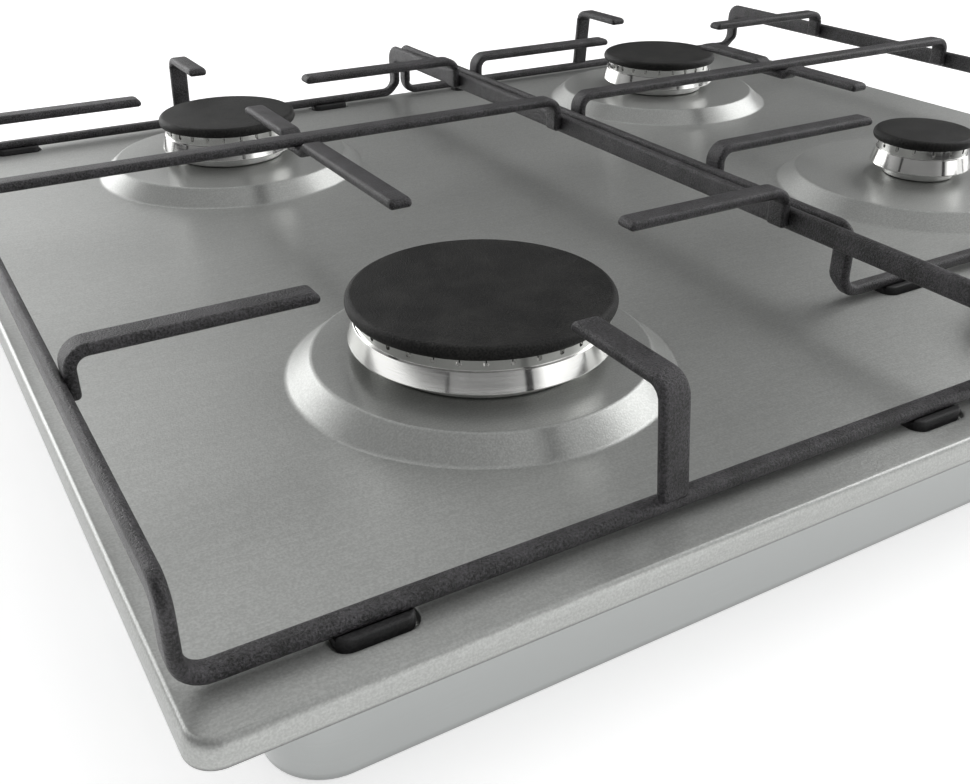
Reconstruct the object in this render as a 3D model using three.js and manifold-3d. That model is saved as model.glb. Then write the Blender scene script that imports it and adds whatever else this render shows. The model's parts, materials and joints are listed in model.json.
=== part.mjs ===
// Built-in gas cooktop: four burners on a pressed steel deck, two lift-off pan supports,
// four push-and-turn taps on one gas rail, all carried by a deep-drawn lower box.
//
// Millimetres, +Z up, +X to the right along the front edge, +Y to the back.
// The origin is the middle of the flat bottom of the box.

import * as THREE from 'three';
import { mergeVertices } from 'three/addons/utils/BufferGeometryUtils.js';
import Module from 'manifold-3d';

const wasm = await Module();
wasm.setup();

// ---------------------------------------------------------------- driving dimensions

// Deck: the pressed top sheet
const DECK_WIDTH = 590;
const DECK_DEPTH = 500;
const DECK_SHEET = 1.0;
const DECK_CORNER = 8.6;
const DECK_ROLL = 2.4;
const DECK_ROLL_DROP = 5.5;
const DECK_LIP = 8.5;

// Plateau: the round platform pressed up under each burner
const PLATEAU_FOOT_RADIUS = 70.4;
const PLATEAU_TOP_RADIUS = 61.4;
const PLATEAU_HEIGHT = 7.6;
const PLATEAU_BLEND = 1.6;

// Box: the drawn steel casing under the deck
const BOX_DEPTH = 47;
const BOX_SHEET = 1.0;
const BOX_TOP_INSET_X = 19.5;
const BOX_TOP_INSET_Y = 10.6;
const BOX_DRAFT = 6;
const BOX_CORNER = 24.3;
const BOX_BOTTOM_ROUND = 1.8;
const BOX_FLANGE = 8;
const VENT_LENGTH = 36;
const VENT_WIDTH = 5;
const VENT_ROUND = 2.4;
const VENT_PITCH = 16;
const VENTS_PER_ROW = 3;
const VENT_ROW_OFFSET = 120;

// Seal: the foam strip between the lip and the worktop
const SEAL_WIDTH = 8;

// General clearances
const SEAT_GAP = 0.3;
const LOOSE_GAP = 0.5;

// Burners: columns in the middle of each half, rows from the front and rear edges of the deck
const LEFT_COLUMN = DECK_WIDTH / 4;
const RIGHT_COLUMN = DECK_WIDTH - LEFT_COLUMN;
const FRONT_LEFT_ROW = 127;
const FRONT_RIGHT_ROW = 184;
const REAR_ROW_MARGIN = 99.3;
const REAR_ROW = DECK_DEPTH - REAR_ROW_MARGIN;
const BURNERS = [
  { name: 'front_left', x: LEFT_COLUMN, y: FRONT_LEFT_ROW, capRadius: 48.2, ports: 32, throat: 13 },
  { name: 'rear_left', x: LEFT_COLUMN, y: REAR_ROW, capRadius: 36.1, ports: 24, throat: 10 },
  { name: 'rear_right', x: RIGHT_COLUMN, y: REAR_ROW, capRadius: 36.1, ports: 24, throat: 10 },
  { name: 'front_right', x: RIGHT_COLUMN, y: FRONT_RIGHT_ROW, capRadius: 24.9, ports: 15, throat: 5.5 },
];
const CAP_THICKNESS = 4.8;
const CAP_DOME = 0.3;
const CAP_EDGE_ROUND = 2.8;
const CAP_OVERHANG = 3.2;
const CAP_SPIGOT_HEIGHT = 2.6;
const CAP_SPIGOT_WALL = 2.2;
const RING_SKIRT_HEIGHT = 7.2;
const RING_CROWN_HEIGHT = 4.6;
const RING_SKIRT_FLARE = 3.0;
const RING_STEP = 0.8;
const RING_WALL = 6.5;
const RING_WEB = 2.4;
const RING_SKIRT_DROP = 1.5;
const THROAT_WALL = 2.2;
const THROAT_DROP = 13;
const PORT_WIDTH = 1.7;
const PORT_DEPTH = 3.4;
const CUP_FLANGE_STEP = 7.5;
const CUP_FLANGE_LEDGE = 3.5;
const CUP_FLANGE_HEIGHT = 5.2;
const CUP_WALL = 2.4;
const CUP_DEPTH = 21.6;
const CUP_FLOOR = 2.5;
const CUP_BOSS_RADIUS = 9;
const CUP_BOSS_HEIGHT = 10.5;
const JET_THREAD_RADIUS = 4.0;
const JET_THREAD_LENGTH = 10;
const JET_HEX_RADIUS = 4.6;
const JET_HEX_HEIGHT = 4.5;
const JET_TIP_RADIUS = 2.4;
const JET_TIP_HEIGHT = 3;

// Spark plug: stands behind each burner
const PLUG_STAND_OFF = 6;
const PLUG_BEARING = 60;
const PLUG_RADIUS = 3.0;
const PLUG_COLLAR_RADIUS = 4.6;
const PLUG_COLLAR_HEIGHT = 2;
const PLUG_RISE = 9;
const PLUG_TAIL = 22;
const ELECTRODE_RADIUS = 0.9;
const ELECTRODE_LENGTH = 5;

// Pan supports: frames of flat bar with fingers, measured like the burners
const BAR_THICKNESS = 4.1;
const BAR_HEIGHT = 9.4;
const BAR_TOP = 34.2;
const BAR_BEND = 9;
const BAR_EDGE = 0.9;
const RIM_HEIGHT = 4.6;
const RIM_DEPTH = 6.4;
const RIM_BOTTOM = 1.7;
const RIM_CORNER = 10;
const LEG_TAPER = 3;
const LEG_LAP = 3;
const FINGER_TOP = 43.6;
const FINGER_WIDTH = 10;
const FINGER_THICKNESS = 4.1;
const FINGER_BEND = 6;
const FINGER_LEG_BOTTOM = 26.2;
const FINGER_TIP_LENGTH = 4.5;
const FINGER_TIP_DROP = 1.7;
const FINGER_LEAN = 3.8;
const FINGER_SET_BACK = 2.05;
const TIP_CIRCLE_LARGE = 61.3;
const TIP_CIRCLE_SMALL = 45.4;
const CROSS_BAR_SHIFT = 0.15;
const JOGGLE_HALF = 9;
const JOGGLE_RUN = 5;
const JOGGLE_OVERLAP = 0.3;
const SUPPORT_SIDE = 1.9;
const SUPPORT_MIDDLE_GAP = 3.8;
const LEFT_SUPPORT_FRONT = 15.9;
const RIGHT_SUPPORT_FRONT = 96.3;
const SUPPORT_REAR_MARGIN = 6;
const SUPPORT_FEET = {
  left: { front: [50.6, 36.5], rear: [48, 50] },
  right: { front: [36.5, 50.6], rear: [50, 48] },
};

// Foot: the pad clipped under each rim, standing in a dimple of the deck
const FOOT_LENGTH = 22;
const FOOT_DEPTH = 11;
const FOOT_SHIFT = 0.5;
const FOOT_CORNER = 3.5;
const FOOT_HOLD = 1.0;
const DIMPLE_DEPTH = 2.5;
const DIMPLE_MARGIN = 1.0;
const DIMPLE_SLOPE = 0.9;

// Taps and knobs, in one row at the front right
const KNOB_SIDE_MARGIN = 61;
const KNOB_PITCH = 58;
const KNOB_ROW = 50;
const KNOB_NAMES = ['front_left', 'rear_left', 'front_right', 'rear_right'];
const KNOB_RADIUS = 20;
const KNOB_TOP_RADIUS = 17.5;
const KNOB_HEIGHT = 22;
const KNOB_SKIRT = 3;
const KNOB_EDGE = 1.5;
const KNOB_LIFT = 4.2;
const KNOB_BORE_DEPTH = 13;
const KNOB_MARK_WIDTH = 2;
const KNOB_MARK_LENGTH = 11;
const KNOB_MARK_DEPTH = 0.8;
const SPINDLE_RADIUS = 3;
const SPINDLE_HOLE_MARGIN = 2.5;
const SPINDLE_REACH = 6.5;
const PUSH_TRAVEL = 3;
const TAP_PLUG_TOP_RADIUS = 6.4;
const TAP_PLUG_BOTTOM_RADIUS = 5.2;
const TAP_PLUG_HEIGHT = 19;
const TAP_PLUG_TOP = -13.5;
const TAP_BODY_WIDTH = 24;
const TAP_BODY_DEPTH = 26;
const TAP_BODY_HEIGHT = 29;
const TAP_BODY_TOP = -8;
const TAP_BODY_CORNER = 2;
const TAP_OUTLET_RADIUS = 5.5;
const TAP_OUTLET_LENGTH = 8;

// Gas line
const PIPE_RADIUS = 4;
const PIPE_BEND = 15;
const PIPE_LEVEL = -21.3;
const PIPE_CROSSING_MARGIN = 148.7;
const RAIL_RADIUS = 6;
const RAIL_BEND = 8;
const RAIL_LEVEL = -30;
const RAIL_START_REACH = 18;
const RAIL_SIDE_MARGIN = 39;
const INLET_RADIUS = 10.5;
const INLET_THREAD_LENGTH = 16;
const INLET_COLLAR_RADIUS = 13;
const INLET_COLLAR_LENGTH = 8;
const INLET_BODY_LENGTH = 12;

// Ignition unit at the back of the box
const IGNITER_WIDTH = 66;
const IGNITER_DEPTH = 34;
const IGNITER_HEIGHT = 24;
const IGNITER_SHIFT = 5;
const IGNITER_CORNER = 4;
const TERMINAL_RADIUS = 2.6;
const TERMINAL_HEIGHT = 5;
const TERMINAL_COUNT = 4;
const TERMINAL_PITCH = 13;
const SOCKET_WIDTH = 26;
const SOCKET_HEIGHT = 14;
const SOCKET_REACH = 5;

// Fixing clamps on the two sides of the box
const CLAMP_ROW_MARGIN = 120;
const CLAMP_WIDTH = 20;
const CLAMP_STRIP = 1.5;
const CLAMP_TOP = -14;
const CLAMP_BOTTOM = -38;
const CLAMP_REACH = 11;
const CLAMP_CLAW = 6;
const CLAMP_BEND = 1.2;
const CLAMP_EDGE = 0.2;

// Facets of the round forms
const ARC_STEPS = 2;
const ROLL_STEPS = 3;
const FOOT_STEPS = 1;
const CORNER_STEPS = 3;
const BAR_BEND_STEPS = 2;
const PIPE_BEND_STEPS = 4;
const PIPE_SIDES = 8;
const RAIL_SIDES = 10;
const SMALL_SIDES = 8;
const CUP_SIDES = 12;
const PLATEAU_SIDES = 24;
const CAP_SIDES = 24;
const KNOB_SIDES = 20;
const TAP_SIDES = 10;
const HEX_SIDES = 6;
const CUT_OVERSHOOT = 1;
const MERGE_DISTANCE = 1e-5;

// ---------------------------------------------------------------- derived places

const deckTop = BOX_DEPTH;
const deckLeft = -DECK_WIDTH / 2;
const deckFront = -DECK_DEPTH / 2;
const deckUnderside = deckTop - DECK_SHEET;

/** Place on the deck: distances from its left and front edges and height over its face. */
function onDeck(fromLeft, fromFront, height = 0) {
  return new THREE.Vector3(deckLeft + fromLeft, deckFront + fromFront, deckTop + height);
}

const supportRear = DECK_DEPTH - SUPPORT_REAR_MARGIN;
const crossBarRow = (FRONT_RIGHT_ROW + REAR_ROW) / 2 + CROSS_BAR_SHIFT;
const knobFirstX = DECK_WIDTH - KNOB_SIDE_MARGIN - (KNOB_NAMES.length - 1) * KNOB_PITCH;
const pipeCrossingRow = REAR_ROW - PIPE_CROSSING_MARGIN;
const railStartX = knobFirstX - RAIL_START_REACH;
const railSideX = DECK_WIDTH - RAIL_SIDE_MARGIN;
const igniterX = DECK_WIDTH / 2 + IGNITER_SHIFT;
const clampRows = [CLAMP_ROW_MARGIN, DECK_DEPTH - CLAMP_ROW_MARGIN];

// ---------------------------------------------------------------- geometry helpers

/** Turn a closed three.js geometry into a solid that can be joined and cut. */
function toSolid(geometry) {
  const bare = geometry.clone();
  bare.deleteAttribute('normal');
  bare.deleteAttribute('uv');
  const merged = mergeVertices(bare, MERGE_DISTANCE);
  return new wasm.Manifold(new wasm.Mesh({
    numProp: 3,
    vertProperties: Float32Array.from(merged.attributes.position.array),
    triVerts: Uint32Array.from(merged.index.array),
  }));
}

function toGeometry(solid) {
  const mesh = solid.getMesh();
  const geometry = new THREE.BufferGeometry();
  geometry.setAttribute('position', new THREE.Float32BufferAttribute(mesh.vertProperties, 3));
  geometry.setIndex(Array.from(mesh.triVerts));
  return geometry;
}

function unite(solids) {
  return solids.reduce((whole, solid) => whole.add(solid));
}

function cut(solid, tools) {
  return tools.length ? solid.subtract(unite(tools)) : solid;
}

/** Loop of points round a rectangle with round corners, counter-clockwise from above. */
function roundedLoop(width, depth, radius, z, centre = { x: 0, y: 0 }, steps = CORNER_STEPS) {
  const corners = [[1, -1, -90], [1, 1, 0], [-1, 1, 90], [-1, -1, 180]];
  return corners.flatMap(([sx, sy, start]) => {
    const cx = centre.x + sx * (width / 2 - radius);
    const cy = centre.y + sy * (depth / 2 - radius);
    return Array.from({ length: steps + 1 }, (_, i) => {
      const angle = THREE.MathUtils.degToRad(start + (90 * i) / steps);
      return new THREE.Vector3(cx + radius * Math.cos(angle), cy + radius * Math.sin(angle), z);
    });
  });
}

/** Closed solid through a stack of loops with equal point counts, lowest first. */
function loft(loops) {
  const count = loops[0].length;
  const positions = loops.flat().flatMap((p) => [p.x, p.y, p.z]);
  const index = [];
  for (let level = 0; level + 1 < loops.length; level += 1) {
    for (let i = 0; i < count; i += 1) {
      const next = (i + 1) % count;
      const a = level * count + i;
      const b = level * count + next;
      index.push(a, b, b + count, a, b + count, a + count);
    }
  }
  const top = (loops.length - 1) * count;
  for (let i = 1; i + 1 < count; i += 1) {
    index.push(0, i + 1, i);
    index.push(top, top + i, top + i + 1);
  }
  const geometry = new THREE.BufferGeometry();
  geometry.setAttribute('position', new THREE.Float32BufferAttribute(positions, 3));
  geometry.setIndex(index);
  return toSolid(geometry);
}

/** Solid of revolution round a vertical axis; the profile runs counter-clockwise in (r, z). */
function revolve(profile, sides, place = new THREE.Vector3()) {
  const points = profile.map(([r, z]) => new THREE.Vector2(r, z));
  const geometry = new THREE.LatheGeometry(points, sides);
  geometry.rotateX(Math.PI / 2);
  geometry.translate(place.x, place.y, place.z);
  return toSolid(geometry);
}

/** The same with a profile that closes on itself, for rings. */
function revolveRing(profile, sides, place) {
  return revolve([...profile, profile[0]], sides, place);
}

function cylinder(radius, bottom, top, sides, place = { x: 0, y: 0 }) {
  const geometry = new THREE.CylinderGeometry(radius, radius, top - bottom, sides);
  geometry.rotateX(Math.PI / 2);
  geometry.translate(place.x, place.y, (top + bottom) / 2);
  return toSolid(geometry);
}

/** Cylinder lying along Y, from the back of its front face. */
function cylinderAlongY(radius, start, length, sides) {
  const geometry = new THREE.CylinderGeometry(radius, radius, length, sides);
  geometry.translate(start.x, start.y + length / 2, start.z);
  return toSolid(geometry);
}

function box(min, max) {
  const size = new THREE.Vector3().subVectors(max, min);
  const geometry = new THREE.BoxGeometry(size.x, size.y, size.z);
  geometry.translate((min.x + max.x) / 2, (min.y + max.y) / 2, (min.z + max.z) / 2);
  return toSolid(geometry);
}

function roundArc(centre, radius, startDegrees, endDegrees, steps) {
  return Array.from({ length: steps + 1 }, (_, i) => {
    const angle = THREE.MathUtils.degToRad(startDegrees + ((endDegrees - startDegrees) * i) / steps);
    return [centre[0] + radius * Math.cos(angle), centre[1] + radius * Math.sin(angle)];
  });
}

/** Extrude a side-view outline to a plate whose edges are broken by a small bevel. */
function bevelledPlate(outline, thickness, edge = BAR_EDGE) {
  const shape = new THREE.Shape(outline.map(([a, b]) => new THREE.Vector2(a, b)));
  const geometry = new THREE.ExtrudeGeometry(shape, {
    depth: thickness - 2 * edge,
    bevelEnabled: true,
    bevelThickness: edge,
    bevelSize: edge,
    bevelOffset: -edge,
    bevelSegments: 1,
  });
  geometry.translate(0, 0, edge - thickness / 2);
  return geometry;
}

/** Plate drawn in the X-Z plane, centred on the given Y. */
function plateAcrossY(outline, thickness, y, edge = BAR_EDGE) {
  const geometry = bevelledPlate(outline, thickness, edge);
  geometry.rotateX(Math.PI / 2);
  geometry.translate(0, y, 0);
  return toSolid(geometry);
}

/** Plate drawn in the Y-Z plane, centred on the given X. */
function plateAcrossX(outline, thickness, x, edge = BAR_EDGE) {
  const geometry = bevelledPlate(outline, thickness, edge);
  geometry.rotateX(Math.PI / 2);
  geometry.rotateZ(Math.PI / 2);
  geometry.translate(x, 0, 0);
  return toSolid(geometry);
}

/** Round the inner corners of an open polyline; gives points with their unit directions. */
function filletedPath(corners, radius, steps) {
  const stations = [];
  const last = corners.length - 1;
  const direction = (i) => corners[i + 1].clone().sub(corners[i]).normalize();
  stations.push({ point: corners[0].clone(), tangent: direction(0) });
  for (let i = 1; i < last; i += 1) {
    const into = direction(i - 1);
    const out = direction(i);
    const turn = into.angleTo(out);
    const setBack = radius * Math.tan(turn / 2);
    const start = corners[i].clone().addScaledVector(into, -setBack);
    const inward = out.clone().addScaledVector(into, -into.dot(out)).normalize();
    for (let s = 0; s <= steps; s += 1) {
      const angle = (turn * s) / steps;
      const point = start.clone()
        .addScaledVector(into, radius * Math.sin(angle))
        .addScaledVector(inward, radius * (1 - Math.cos(angle)));
      const tangent = into.clone().multiplyScalar(Math.cos(angle)).addScaledVector(inward, Math.sin(angle));
      stations.push({ point, tangent });
    }
  }
  stations.push({ point: corners[last].clone(), tangent: direction(last - 1) });
  return stations;
}

/** Side-view outline of a strip bent along a path; chamfered on top at its free ends. */
function bentStrip(corners, thickness, bend, freeEnds) {
  const path = filletedPath(corners.map(([a, b]) => new THREE.Vector3(a, b, 0)), bend, BAR_BEND_STEPS);
  const side = (station, offset) => [
    station.point.x - station.tangent.y * offset,
    station.point.y + station.tangent.x * offset,
  ];
  const upper = path.map((station) => side(station, thickness / 2));
  const lower = path.map((station) => side(station, -thickness / 2));
  const chamfer = (line, end, backwards) => {
    const [a, b] = line[end];
    const tip = [a, b - FINGER_TIP_DROP];
    const shoulder = [a + (backwards ? -FINGER_TIP_LENGTH : FINGER_TIP_LENGTH), b];
    line.splice(end, 1, ...(backwards ? [shoulder, tip] : [tip, shoulder]));
  };
  if (freeEnds.end) chamfer(upper, upper.length - 1, true);
  if (freeEnds.start) chamfer(upper, 0, false);
  return [...lower, ...upper.reverse()];
}

/** Curve through pipe stations, one ring of the tube at each station. */
class PipeRun extends THREE.Curve {
  constructor(corners, bend) {
    super();
    this.stations = filletedPath(corners, bend, PIPE_BEND_STEPS);
  }

  get steps() {
    return this.stations.length - 1;
  }

  sample(t, key, target) {
    const place = t * this.steps;
    const i = Math.min(Math.floor(place), this.steps - 1);
    return target.lerpVectors(this.stations[i][key], this.stations[i + 1][key], place - i);
  }

  getPoint(t, target = new THREE.Vector3()) {
    return this.sample(t, 'point', target);
  }

  getPointAt(u, target) {
    return this.getPoint(u, target);
  }

  getTangentAt(u, target = new THREE.Vector3()) {
    return this.sample(u, 'tangent', target).normalize();
  }
}

function tube(corners, radius, bend, sides) {
  const run = new PipeRun(corners, bend);
  const section = new THREE.Shape(Array.from({ length: sides }, (_, i) => {
    const angle = (2 * Math.PI * (i + 0.5)) / sides;
    return new THREE.Vector2(radius * Math.cos(angle), radius * Math.sin(angle));
  }));
  return toSolid(new THREE.ExtrudeGeometry(section, {
    steps: run.steps,
    bevelEnabled: false,
    extrudePath: run,
  }));
}

// ---------------------------------------------------------------- deck

const burnerPlace = (burner, height = 0) => onDeck(burner.x, burner.y, height);
const cupFlangeRadius = (burner) => burner.capRadius - CUP_FLANGE_STEP;
const deckHoleRadius = (burner) => cupFlangeRadius(burner) - CUP_FLANGE_LEDGE;

function sparkPlugPlace(burner, height = 0) {
  const bearing = THREE.MathUtils.degToRad(PLUG_BEARING);
  const reach = burner.capRadius + PLUG_STAND_OFF;
  return burnerPlace(burner, height).add(
    new THREE.Vector3(reach * Math.cos(bearing), reach * Math.sin(bearing), 0),
  );
}

const knobPlace = (i, height = 0) => onDeck(knobFirstX + i * KNOB_PITCH, KNOB_ROW, height);

/** Solid bounded by the pressed sheet's outer face, shrunk by the sheet for its inner face. */
function deckShell(shrink) {
  const level = (inset, z, radius) => roundedLoop(
    DECK_WIDTH - 2 * inset, DECK_DEPTH - 2 * inset, radius - inset, deckTop + z,
  );
  const roll = DECK_ROLL - shrink;
  const drop = DECK_ROLL_DROP - shrink;
  const bottom = -DECK_LIP - (shrink > 0 ? CUT_OVERSHOOT : 0);
  const rolled = roundArc([0, 0], 1, 0, 90, ROLL_STEPS).map(
    ([out, up]) => level(DECK_ROLL - roll * out, drop * up - DECK_ROLL_DROP, DECK_CORNER),
  );
  return loft([level(shrink, bottom, DECK_CORNER), ...rolled]);
}

/** Raised round platform with a broken upper edge. */
function plateauForm(burner) {
  return revolve([
    [0, -DECK_SHEET],
    [PLATEAU_FOOT_RADIUS, -DECK_SHEET],
    [PLATEAU_FOOT_RADIUS, 0],
    [PLATEAU_TOP_RADIUS + PLATEAU_BLEND / 2, PLATEAU_HEIGHT - PLATEAU_BLEND / 2],
    [PLATEAU_TOP_RADIUS - PLATEAU_BLEND, PLATEAU_HEIGHT],
    [0, PLATEAU_HEIGHT],
  ], PLATEAU_SIDES, burnerPlace(burner));
}

/** Hollow under a platform, one sheet below its upper face. */
function plateauHollow(burner) {
  const foot = PLATEAU_FOOT_RADIUS - DECK_SHEET;
  return revolve([
    [0, -DECK_SHEET - CUT_OVERSHOOT],
    [foot, -DECK_SHEET - CUT_OVERSHOOT],
    [foot, -DECK_SHEET],
    [PLATEAU_TOP_RADIUS - DECK_SHEET, PLATEAU_HEIGHT - DECK_SHEET],
    [0, PLATEAU_HEIGHT - DECK_SHEET],
  ], PLATEAU_SIDES, burnerPlace(burner));
}

function dimpleForm(place, grow, top, bottom) {
  const length = FOOT_LENGTH + 2 * (DIMPLE_MARGIN + grow);
  const depth = FOOT_DEPTH + 2 * (DIMPLE_MARGIN + grow);
  const corner = FOOT_CORNER + DIMPLE_MARGIN + grow;
  const spread = 2 * DIMPLE_SLOPE;
  return loft([
    roundedLoop(length, depth, corner, deckTop + bottom, place, FOOT_STEPS),
    roundedLoop(length + spread, depth + spread, corner + DIMPLE_SLOPE, deckTop + top, place, FOOT_STEPS),
  ]);
}

const supports = {
  left: {
    left: SUPPORT_SIDE,
    right: DECK_WIDTH / 2 - SUPPORT_MIDDLE_GAP / 2,
    front: LEFT_SUPPORT_FRONT,
    column: LEFT_COLUMN,
    frontRow: FRONT_LEFT_ROW,
    frontTips: TIP_CIRCLE_LARGE,
  },
  right: {
    left: DECK_WIDTH / 2 + SUPPORT_MIDDLE_GAP / 2,
    right: DECK_WIDTH - SUPPORT_SIDE,
    front: RIGHT_SUPPORT_FRONT,
    column: RIGHT_COLUMN,
    frontRow: FRONT_RIGHT_ROW,
    frontTips: TIP_CIRCLE_SMALL,
  },
};

/** Middle of each foot on the deck, two under the front rim and two under the rear rim. */
function footPlaces(side) {
  const { left, right, front } = supports[side];
  const feet = SUPPORT_FEET[side];
  const frontLine = front + RIM_DEPTH / 2 - FOOT_SHIFT;
  const rearLine = supportRear - RIM_DEPTH / 2 - FOOT_SHIFT;
  return {
    front_left: onDeck(left + feet.front[0], frontLine),
    front_right: onDeck(right - feet.front[1], frontLine),
    rear_left: onDeck(left + feet.rear[0], rearLine),
    rear_right: onDeck(right - feet.rear[1], rearLine),
  };
}

const allFootPlaces = ['left', 'right'].flatMap((side) => Object.values(footPlaces(side)));

/** Room round the dimples for the pieces under the deck. */
function dimpleClearances() {
  const grow = DECK_SHEET + SEAT_GAP;
  return allFootPlaces.map((place) => dimpleForm(place, grow, 0, -DIMPLE_DEPTH - grow));
}

function makeDeck() {
  const plateauTop = deckTop + PLATEAU_HEIGHT + CUT_OVERSHOOT;
  const below = deckUnderside - CUT_OVERSHOOT;
  const outer = unite([
    deckShell(0),
    ...BURNERS.map(plateauForm),
  ]);
  const hollows = [
    deckShell(DECK_SHEET),
    ...BURNERS.map(plateauHollow),
  ];
  const sheet = cut(outer, hollows);
  const cups = allFootPlaces.map((place) => dimpleForm(
    place, DECK_SHEET, -DECK_SHEET / 2, -DIMPLE_DEPTH - DECK_SHEET,
  ));
  const holes = [
    ...allFootPlaces.map((place) => dimpleForm(place, 0, CUT_OVERSHOOT / 4, -DIMPLE_DEPTH)),
    ...BURNERS.map((b) => cylinder(deckHoleRadius(b), below, plateauTop, CUP_SIDES, burnerPlace(b))),
    ...BURNERS.map((b) => cylinder(
      PLUG_RADIUS + LOOSE_GAP, below, plateauTop, SMALL_SIDES, sparkPlugPlace(b),
    )),
    ...KNOB_NAMES.map((_, i) => cylinder(
      SPINDLE_RADIUS + SPINDLE_HOLE_MARGIN, below, deckTop + CUT_OVERSHOOT, SMALL_SIDES, knobPlace(i),
    )),
  ];
  return cut(unite([sheet, ...cups]), holes);
}

function makeSeal() {
  const outerInset = DECK_SHEET + SEAT_GAP;
  const innerInset = outerInset + SEAL_WIDTH;
  const bottom = deckTop - DECK_LIP;
  const top = deckTop - DECK_ROLL_DROP - SEAT_GAP;
  const frame = (inset, low, high) => loft([low, high].map((z) => roundedLoop(
    DECK_WIDTH - 2 * inset, DECK_DEPTH - 2 * inset, DECK_CORNER - outerInset, z,
  )));
  return cut(frame(outerInset, bottom, top), [
    frame(innerInset, bottom - CUT_OVERSHOOT, top + CUT_OVERSHOOT),
    ...dimpleClearances(),
  ]);
}

// ---------------------------------------------------------------- box

const boxTop = deckUnderside - SEAT_GAP;

/** Inset of the box wall from the deck's edge at a height over the bottom. */
const boxDraftAt = (z) => BOX_DRAFT * (1 - z / boxTop);

function boxLoop(z, shrink, extra = 0) {
  const draft = boxDraftAt(z) + shrink + extra;
  return roundedLoop(
    DECK_WIDTH - 2 * (BOX_TOP_INSET_X + draft),
    DECK_DEPTH - 2 * (BOX_TOP_INSET_Y + draft),
    BOX_CORNER - draft,
    z,
  );
}

const inletPlace = onDeck(railSideX, DECK_DEPTH - BOX_TOP_INSET_Y - BOX_DRAFT, RAIL_LEVEL);
const boxFloorBack = deckFront + DECK_DEPTH - BOX_TOP_INSET_Y - BOX_DRAFT - BOX_SHEET - BOX_BOTTOM_ROUND / 2;
const igniterBack = boxFloorBack - LOOSE_GAP;

function makeBox() {
  const flange = loft([boxTop - BOX_SHEET, boxTop].map((z) => roundedLoop(
    DECK_WIDTH - 2 * (BOX_TOP_INSET_X - BOX_FLANGE),
    DECK_DEPTH - 2 * (BOX_TOP_INSET_Y + BOX_CORNER),
    BOX_FLANGE / 2,
    z,
  )));
  const body = loft([
    boxLoop(0, BOX_BOTTOM_ROUND),
    boxLoop(BOX_BOTTOM_ROUND / 3, BOX_BOTTOM_ROUND / 3),
    boxLoop(BOX_BOTTOM_ROUND, 0),
    boxLoop(boxTop, 0),
  ]);
  const inside = loft([
    boxLoop(BOX_SHEET, BOX_SHEET + BOX_BOTTOM_ROUND / 2),
    boxLoop(BOX_BOTTOM_ROUND, BOX_SHEET),
    boxLoop(boxTop + CUT_OVERSHOOT, BOX_SHEET),
  ]);
  const vents = [-1, 1].flatMap((row) => Array.from({ length: VENTS_PER_ROW }, (_, i) => {
    const along = (i - (VENTS_PER_ROW - 1) / 2) * VENT_PITCH;
    const centre = { x: row * VENT_ROW_OFFSET, y: along };
    return loft([-CUT_OVERSHOOT, BOX_SHEET + CUT_OVERSHOOT].map(
      (z) => roundedLoop(VENT_LENGTH, VENT_WIDTH, VENT_ROUND, z, centre, ARC_STEPS),
    ));
  }));
  const wallReach = BOX_DRAFT + BOX_SHEET + 2 * CUT_OVERSHOOT;
  const inletHole = cylinderAlongY(
    INLET_RADIUS + LOOSE_GAP,
    inletPlace.clone().setY(inletPlace.y - wallReach),
    2 * wallReach,
    CUP_SIDES,
  );
  const socketCentre = onDeck(igniterX, 0).setZ(BOX_SHEET + SEAT_GAP + IGNITER_HEIGHT / 2);
  const socketHalf = SOCKET_WIDTH / 2 + LOOSE_GAP;
  const socketHole = box(
    new THREE.Vector3(
      socketCentre.x - socketHalf, igniterBack - LOOSE_GAP, socketCentre.z - SOCKET_HEIGHT / 2 - LOOSE_GAP,
    ),
    new THREE.Vector3(
      socketCentre.x + socketHalf, igniterBack + wallReach, socketCentre.z + SOCKET_HEIGHT / 2 + LOOSE_GAP,
    ),
  );
  return cut(unite([body, flange]), [inside, ...vents, inletHole, socketHole, ...dimpleClearances()]);
}

/** Bent strip screwed to a side of the box, with a claw for the worktop's edge. */
function makeClamp(side, row) {
  const wallAt = (z) => BOX_TOP_INSET_X + boxDraftAt(deckTop + z) - SEAT_GAP;
  const outline = [
    [wallAt(CLAMP_TOP), CLAMP_TOP],
    [wallAt(CLAMP_TOP) - CLAMP_STRIP, CLAMP_TOP],
    [wallAt(CLAMP_BOTTOM) - CLAMP_STRIP, CLAMP_BOTTOM + CLAMP_STRIP],
    [wallAt(CLAMP_BOTTOM) - CLAMP_REACH, CLAMP_BOTTOM + CLAMP_STRIP],
    [wallAt(CLAMP_BOTTOM) - CLAMP_REACH - CLAMP_BEND, CLAMP_BOTTOM + CLAMP_CLAW],
    [wallAt(CLAMP_BOTTOM) - CLAMP_REACH - CLAMP_BEND - CLAMP_STRIP, CLAMP_BOTTOM + CLAMP_CLAW],
    [wallAt(CLAMP_BOTTOM) - CLAMP_REACH - CLAMP_STRIP, CLAMP_BOTTOM],
    [wallAt(CLAMP_BOTTOM), CLAMP_BOTTOM],
  ];
  const place = (fromEdge) => (side === 'left' ? deckLeft + fromEdge : -deckLeft - fromEdge);
  const placed = outline.map(([fromEdge, z]) => [place(fromEdge), deckTop + z]);
  return plateAcrossY(side === 'left' ? placed : placed.reverse(), CLAMP_WIDTH, deckFront + row, CLAMP_EDGE);
}

// ---------------------------------------------------------------- burners

const cupTop = PLATEAU_HEIGHT + CUP_FLANGE_HEIGHT;
const ringSeat = cupTop + SEAT_GAP;
const skirtBottom = ringSeat - RING_SKIRT_DROP + RING_WEB / 2;
const skirtTop = ringSeat + RING_SKIRT_HEIGHT;
const crownTop = skirtTop + RING_CROWN_HEIGHT;
const capSeat = crownTop + SEAT_GAP;

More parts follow.
